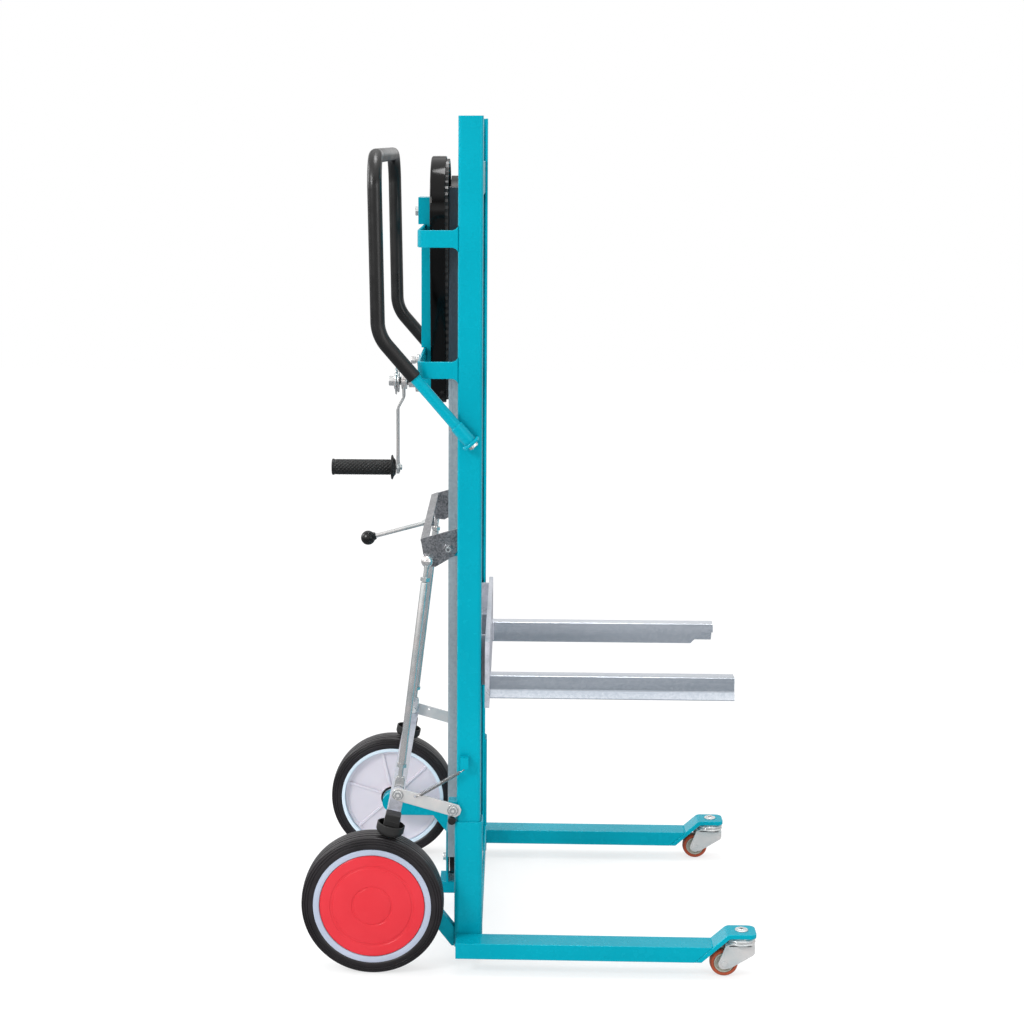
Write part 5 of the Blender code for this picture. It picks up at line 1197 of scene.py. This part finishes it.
def stay_fillets():
    """The flared ends of the stays where they are welded to the uprights."""
    upright_back = mast(UPRIGHT_BACK, 0, 0).x
    flare = [(0.0006, 0.0074), (-0.0012, 0.0046), (-0.0036, 0.0022), (-0.0070, 0.0006), (-0.0100, 0.0)]
    for node in ("upper_stay", "lower_stay"):
        low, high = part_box(node)
        outline = [(upright_back + x, high.z + rise) for x, rise in flare]
        outline += [(upright_back + x, low.z - rise) for x, rise in reversed(flare)]
        for where, side in SIDES.items():
            face = sorted((side * (high.y - 0.0050), side * (high.y + 0.0004)))
            fillet = prism(outline, "Y", *face, 0.0012)
            piece(f"{node}_fillet_{where}", fillet, TEAL, "mast_frame")


def welds():
    for where, side in SIDES.items():
        low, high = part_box(f"post_{where}")
        y = side * (abs(high.y if side > 0 else low.y) - 0.0004) - side * 0.0026
        rim = high.z - 0.0005
        bead(f"post_weld_{where}", [(low.x + 0.008, y, rim), (high.x - 0.008, y, rim)], 0.0016)
        low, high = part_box(f"leg_{where}")
        x, z = high.x - 0.0003, high.z - 0.0002
        bead(f"strap_weld_{where}", [(x, low.y + 0.004, z), (x, high.y - 0.004, z)], 0.0016)
        low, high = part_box(f"tine_{where}")
        x, z = low.x + 0.0006, high.z - 0.0015
        wall = low.y if side > 0 else high.y
        corner = [(x, wall, low.z + 0.004), (x, wall, z), (x, wall + side * 0.027, z)]
        bead(f"tine_weld_{where}", corner, 0.0018, "fork_carriage", CARRIAGE_STEEL)


def dressed_nodes():
    """The nodes that are shown with their own shape."""
    for node in (
        "upright_near", "upright_far", "post_near", "post_far", "top_cross_member", "bottom_cross_member",
        "front_cross_plate", "leg_near", "leg_far", "wheel_arm_near", "wheel_arm_far", "tension_bracket",
    ):
        dress(node, TEAL, 0.0009)
    for node in ("caster_strap_near", "caster_strap_far", "upper_stay", "lower_stay"):
        dress(node, TEAL, 0.0012)
    dress("support_bar", TEAL, 0.0032)
    dress("lift_column", COLUMN_STEEL, 0.0008, 24)
    dress("brake_bar", CARRIAGE_STEEL, 0.0008, 24)
    dress("carriage", CARRIAGE_STEEL, 0.0012)
    dress("brake_rocker", SPANGLED_STEEL, 0.0012)
    for where in SIDES:
        dress(f"tine_{where}", FORK_STEEL, 0.0008, 24)
        dress(f"brake_link_{where}", PLATED, 0.0008)
        dress(f"guide_block_{where}", BELT, 0.0012)


# Studio


def shining(tree, kind, level, strength):
    """The output of an emission or background shader of one grey or tint."""
    node = tree.nodes.new(kind)
    node.inputs["Color"].default_value = (*level, 1)
    node.inputs["Strength"].default_value = strength
    return node.outputs[0]


def chosen(tree, share, first, second):
    """The output of a shader that goes from first to second by a share."""
    mix = tree.nodes.new("ShaderNodeMixShader")
    for output, socket in zip((share, first, second), mix.inputs):
        tree.links.new(output, socket)
    return mix.outputs["Shader"]


def pale_floor(height, size=9.0):
    """Paper that is white for the camera away from the trolley, and dim in reflections."""
    ground = bmesh.new()
    corners = [(-size, -size), (size, -size), (size, size), (-size, size)]
    ground.faces.new([ground.verts.new((x, y, height)) for x, y in corners])
    mesh = bpy.data.meshes.new("floor")
    ground.to_mesh(mesh)
    ground.free()
    floor = bpy.data.objects.new("floor", mesh)
    bpy.context.scene.collection.objects.link(floor)
    paper = bpy.data.materials.new("paper")
    paper.use_nodes = True
    tree = paper.node_tree
    shader = tree.nodes["Principled BSDF"]
    shader.inputs["Base Color"].default_value = (0.9, 0.9, 0.9, 1)
    shader.inputs["Roughness"].default_value = 0.9
    path = tree.nodes.new("ShaderNodeLightPath")
    spot = tree.nodes.new("ShaderNodeTexCoord")
    reach = tree.nodes.new("ShaderNodeVectorMath")
    reach.operation = "LENGTH"
    tree.links.new(spot.outputs["Object"], reach.inputs[0])
    fade = tree.nodes.new("ShaderNodeMapRange")
    fade.interpolation_type = "SMOOTHSTEP"
    for socket, number in (("From Min", 0.5), ("From Max", 1.6), ("To Min", 0.62), ("To Max", 1.0)):
        fade.inputs[socket].default_value = number
    tree.links.new(reach.outputs["Value"], fade.inputs["Value"])
    share = tree.nodes.new("ShaderNodeMath")
    share.operation = "MULTIPLY"
    tree.links.new(path.outputs["Is Camera Ray"], share.inputs[0])
    tree.links.new(fade.outputs["Result"], share.inputs[1])
    glow = shining(tree, "ShaderNodeEmission", (1, 1, 1), 1.08)
    dim = shining(tree, "ShaderNodeEmission", (0.30, 0.32, 0.34), 1.0)
    seen = chosen(tree, share.outputs["Value"], shader.outputs["BSDF"], glow)
    surface = chosen(tree, path.outputs["Is Glossy Ray"], seen, dim)
    tree.links.new(surface, tree.nodes["Material Output"].inputs["Surface"])
    mesh.materials.append(paper)


def soft_sky():
    """White for the camera; bands of light and shade from below to above for everything else."""
    world = bpy.data.worlds.new("studio")
    bpy.context.scene.world = world
    world.use_nodes = True
    tree = world.node_tree
    back = tree.nodes["Background"]
    back.inputs["Strength"].default_value = 1.35
    spot = tree.nodes.new("ShaderNodeTexCoord")
    height = tree.nodes.new("ShaderNodeSeparateXYZ")
    tree.links.new(spot.outputs["Generated"], height.inputs["Vector"])
    sky = tree.nodes.new("ShaderNodeValToRGB")
    bands = ((0.0, 0.2), (0.49, 0.3), (0.54, 1.0), (0.61, 0.7), (0.68, 0.16), (0.80, 0.8), (1.0, 0.85))
    ramp = sky.color_ramp
    while len(ramp.elements) < len(bands):
        ramp.elements.new(0.5)
    for element, (place, level) in zip(ramp.elements, bands):
        element.position = place
        element.color = (level, level, level, 1)
    turned_up = tree.nodes.new("ShaderNodeMapRange")
    turned_up.inputs["From Min"].default_value = -1
    tree.links.new(height.outputs["Z"], turned_up.inputs["Value"])
    tree.links.new(turned_up.outputs["Result"], sky.inputs["Fac"])
    tree.links.new(sky.outputs["Color"], back.inputs["Color"])
    white = shining(tree, "ShaderNodeBackground", (1, 1, 1), 1.0)
    path = tree.nodes.new("ShaderNodeLightPath")
    surface = chosen(tree, path.outputs["Is Camera Ray"], back.outputs["Background"], white)
    tree.links.new(surface, tree.nodes["World Output"].inputs["Surface"])


def studio():
    low, high = CAD_BOX
    pale_floor(low.z - 0.0002)
    soft_sky()
    for name, place, power, width in (
        ("key", (-2.7, -2.5, 2.0), 78, 0.9),
        ("fill", (2.2, -2.8, 0.9), 20, 1.6),
        ("rim", (-3.0, 0.9, 1.4), 28, 1.2),
        ("top", (0.1, 0.1, 3.2), 46, 1.1),
    ):
        data = bpy.data.lights.new(name, "AREA")
        data.energy = power
        data.size = width
        lamp = bpy.data.objects.new(name, data)
        lamp.location = (low + high) / 2 + Vector(place)
        lamp.rotation_euler = (-Vector(place)).to_track_quat("-Z", "Y").to_euler()
        bpy.context.scene.collection.objects.link(lamp)


def camera():
    """The photograph's viewpoint, worked out from the trolley's parallel edges."""
    scene = bpy.context.scene
    side = 1024
    focal, across, down = 2016.98, 435.61, 483.71
    yaw, pitch, roll = (math.radians(a) for a in (2.302, 9.695, 0.036))
    place = mast(0.05729, -3.66059, 1.44542)
    ahead = Vector((-math.sin(yaw) * math.cos(pitch), math.cos(yaw) * math.cos(pitch), -math.sin(pitch)))
    right = ahead.cross(Vector((0, 0, 1))).normalized()
    below = ahead.cross(right)
    turned_right = math.cos(roll) * right - math.sin(roll) * below
    turned_below = math.sin(roll) * right + math.cos(roll) * below
    data = bpy.data.cameras.new("photograph")
    data.sensor_width = 36
    data.lens = focal / side * 36
    data.shift_x = (side / 2 - across) / side
    data.shift_y = (down - side / 2) / side
    made = bpy.data.objects.new("photograph", data)
    made.matrix_world = axes(turned_right, -turned_below, -ahead, place)
    scene.collection.objects.link(made)
    scene.camera = made


def main():
    dressed_nodes()
    toothed_belt()
    roller_chain()
    chain_edge()
    large_sprocket()
    drive_case()
    for where, side in SIDES.items():
        rear_wheel(where, side)
        caster(where)
    push_handle()
    crank()
    brake()
    mast_fixings()
    stay_fillets()
    welds()
    studio()
    camera()
    bpy.context.scene.view_settings.view_transform = "Standard"


main()
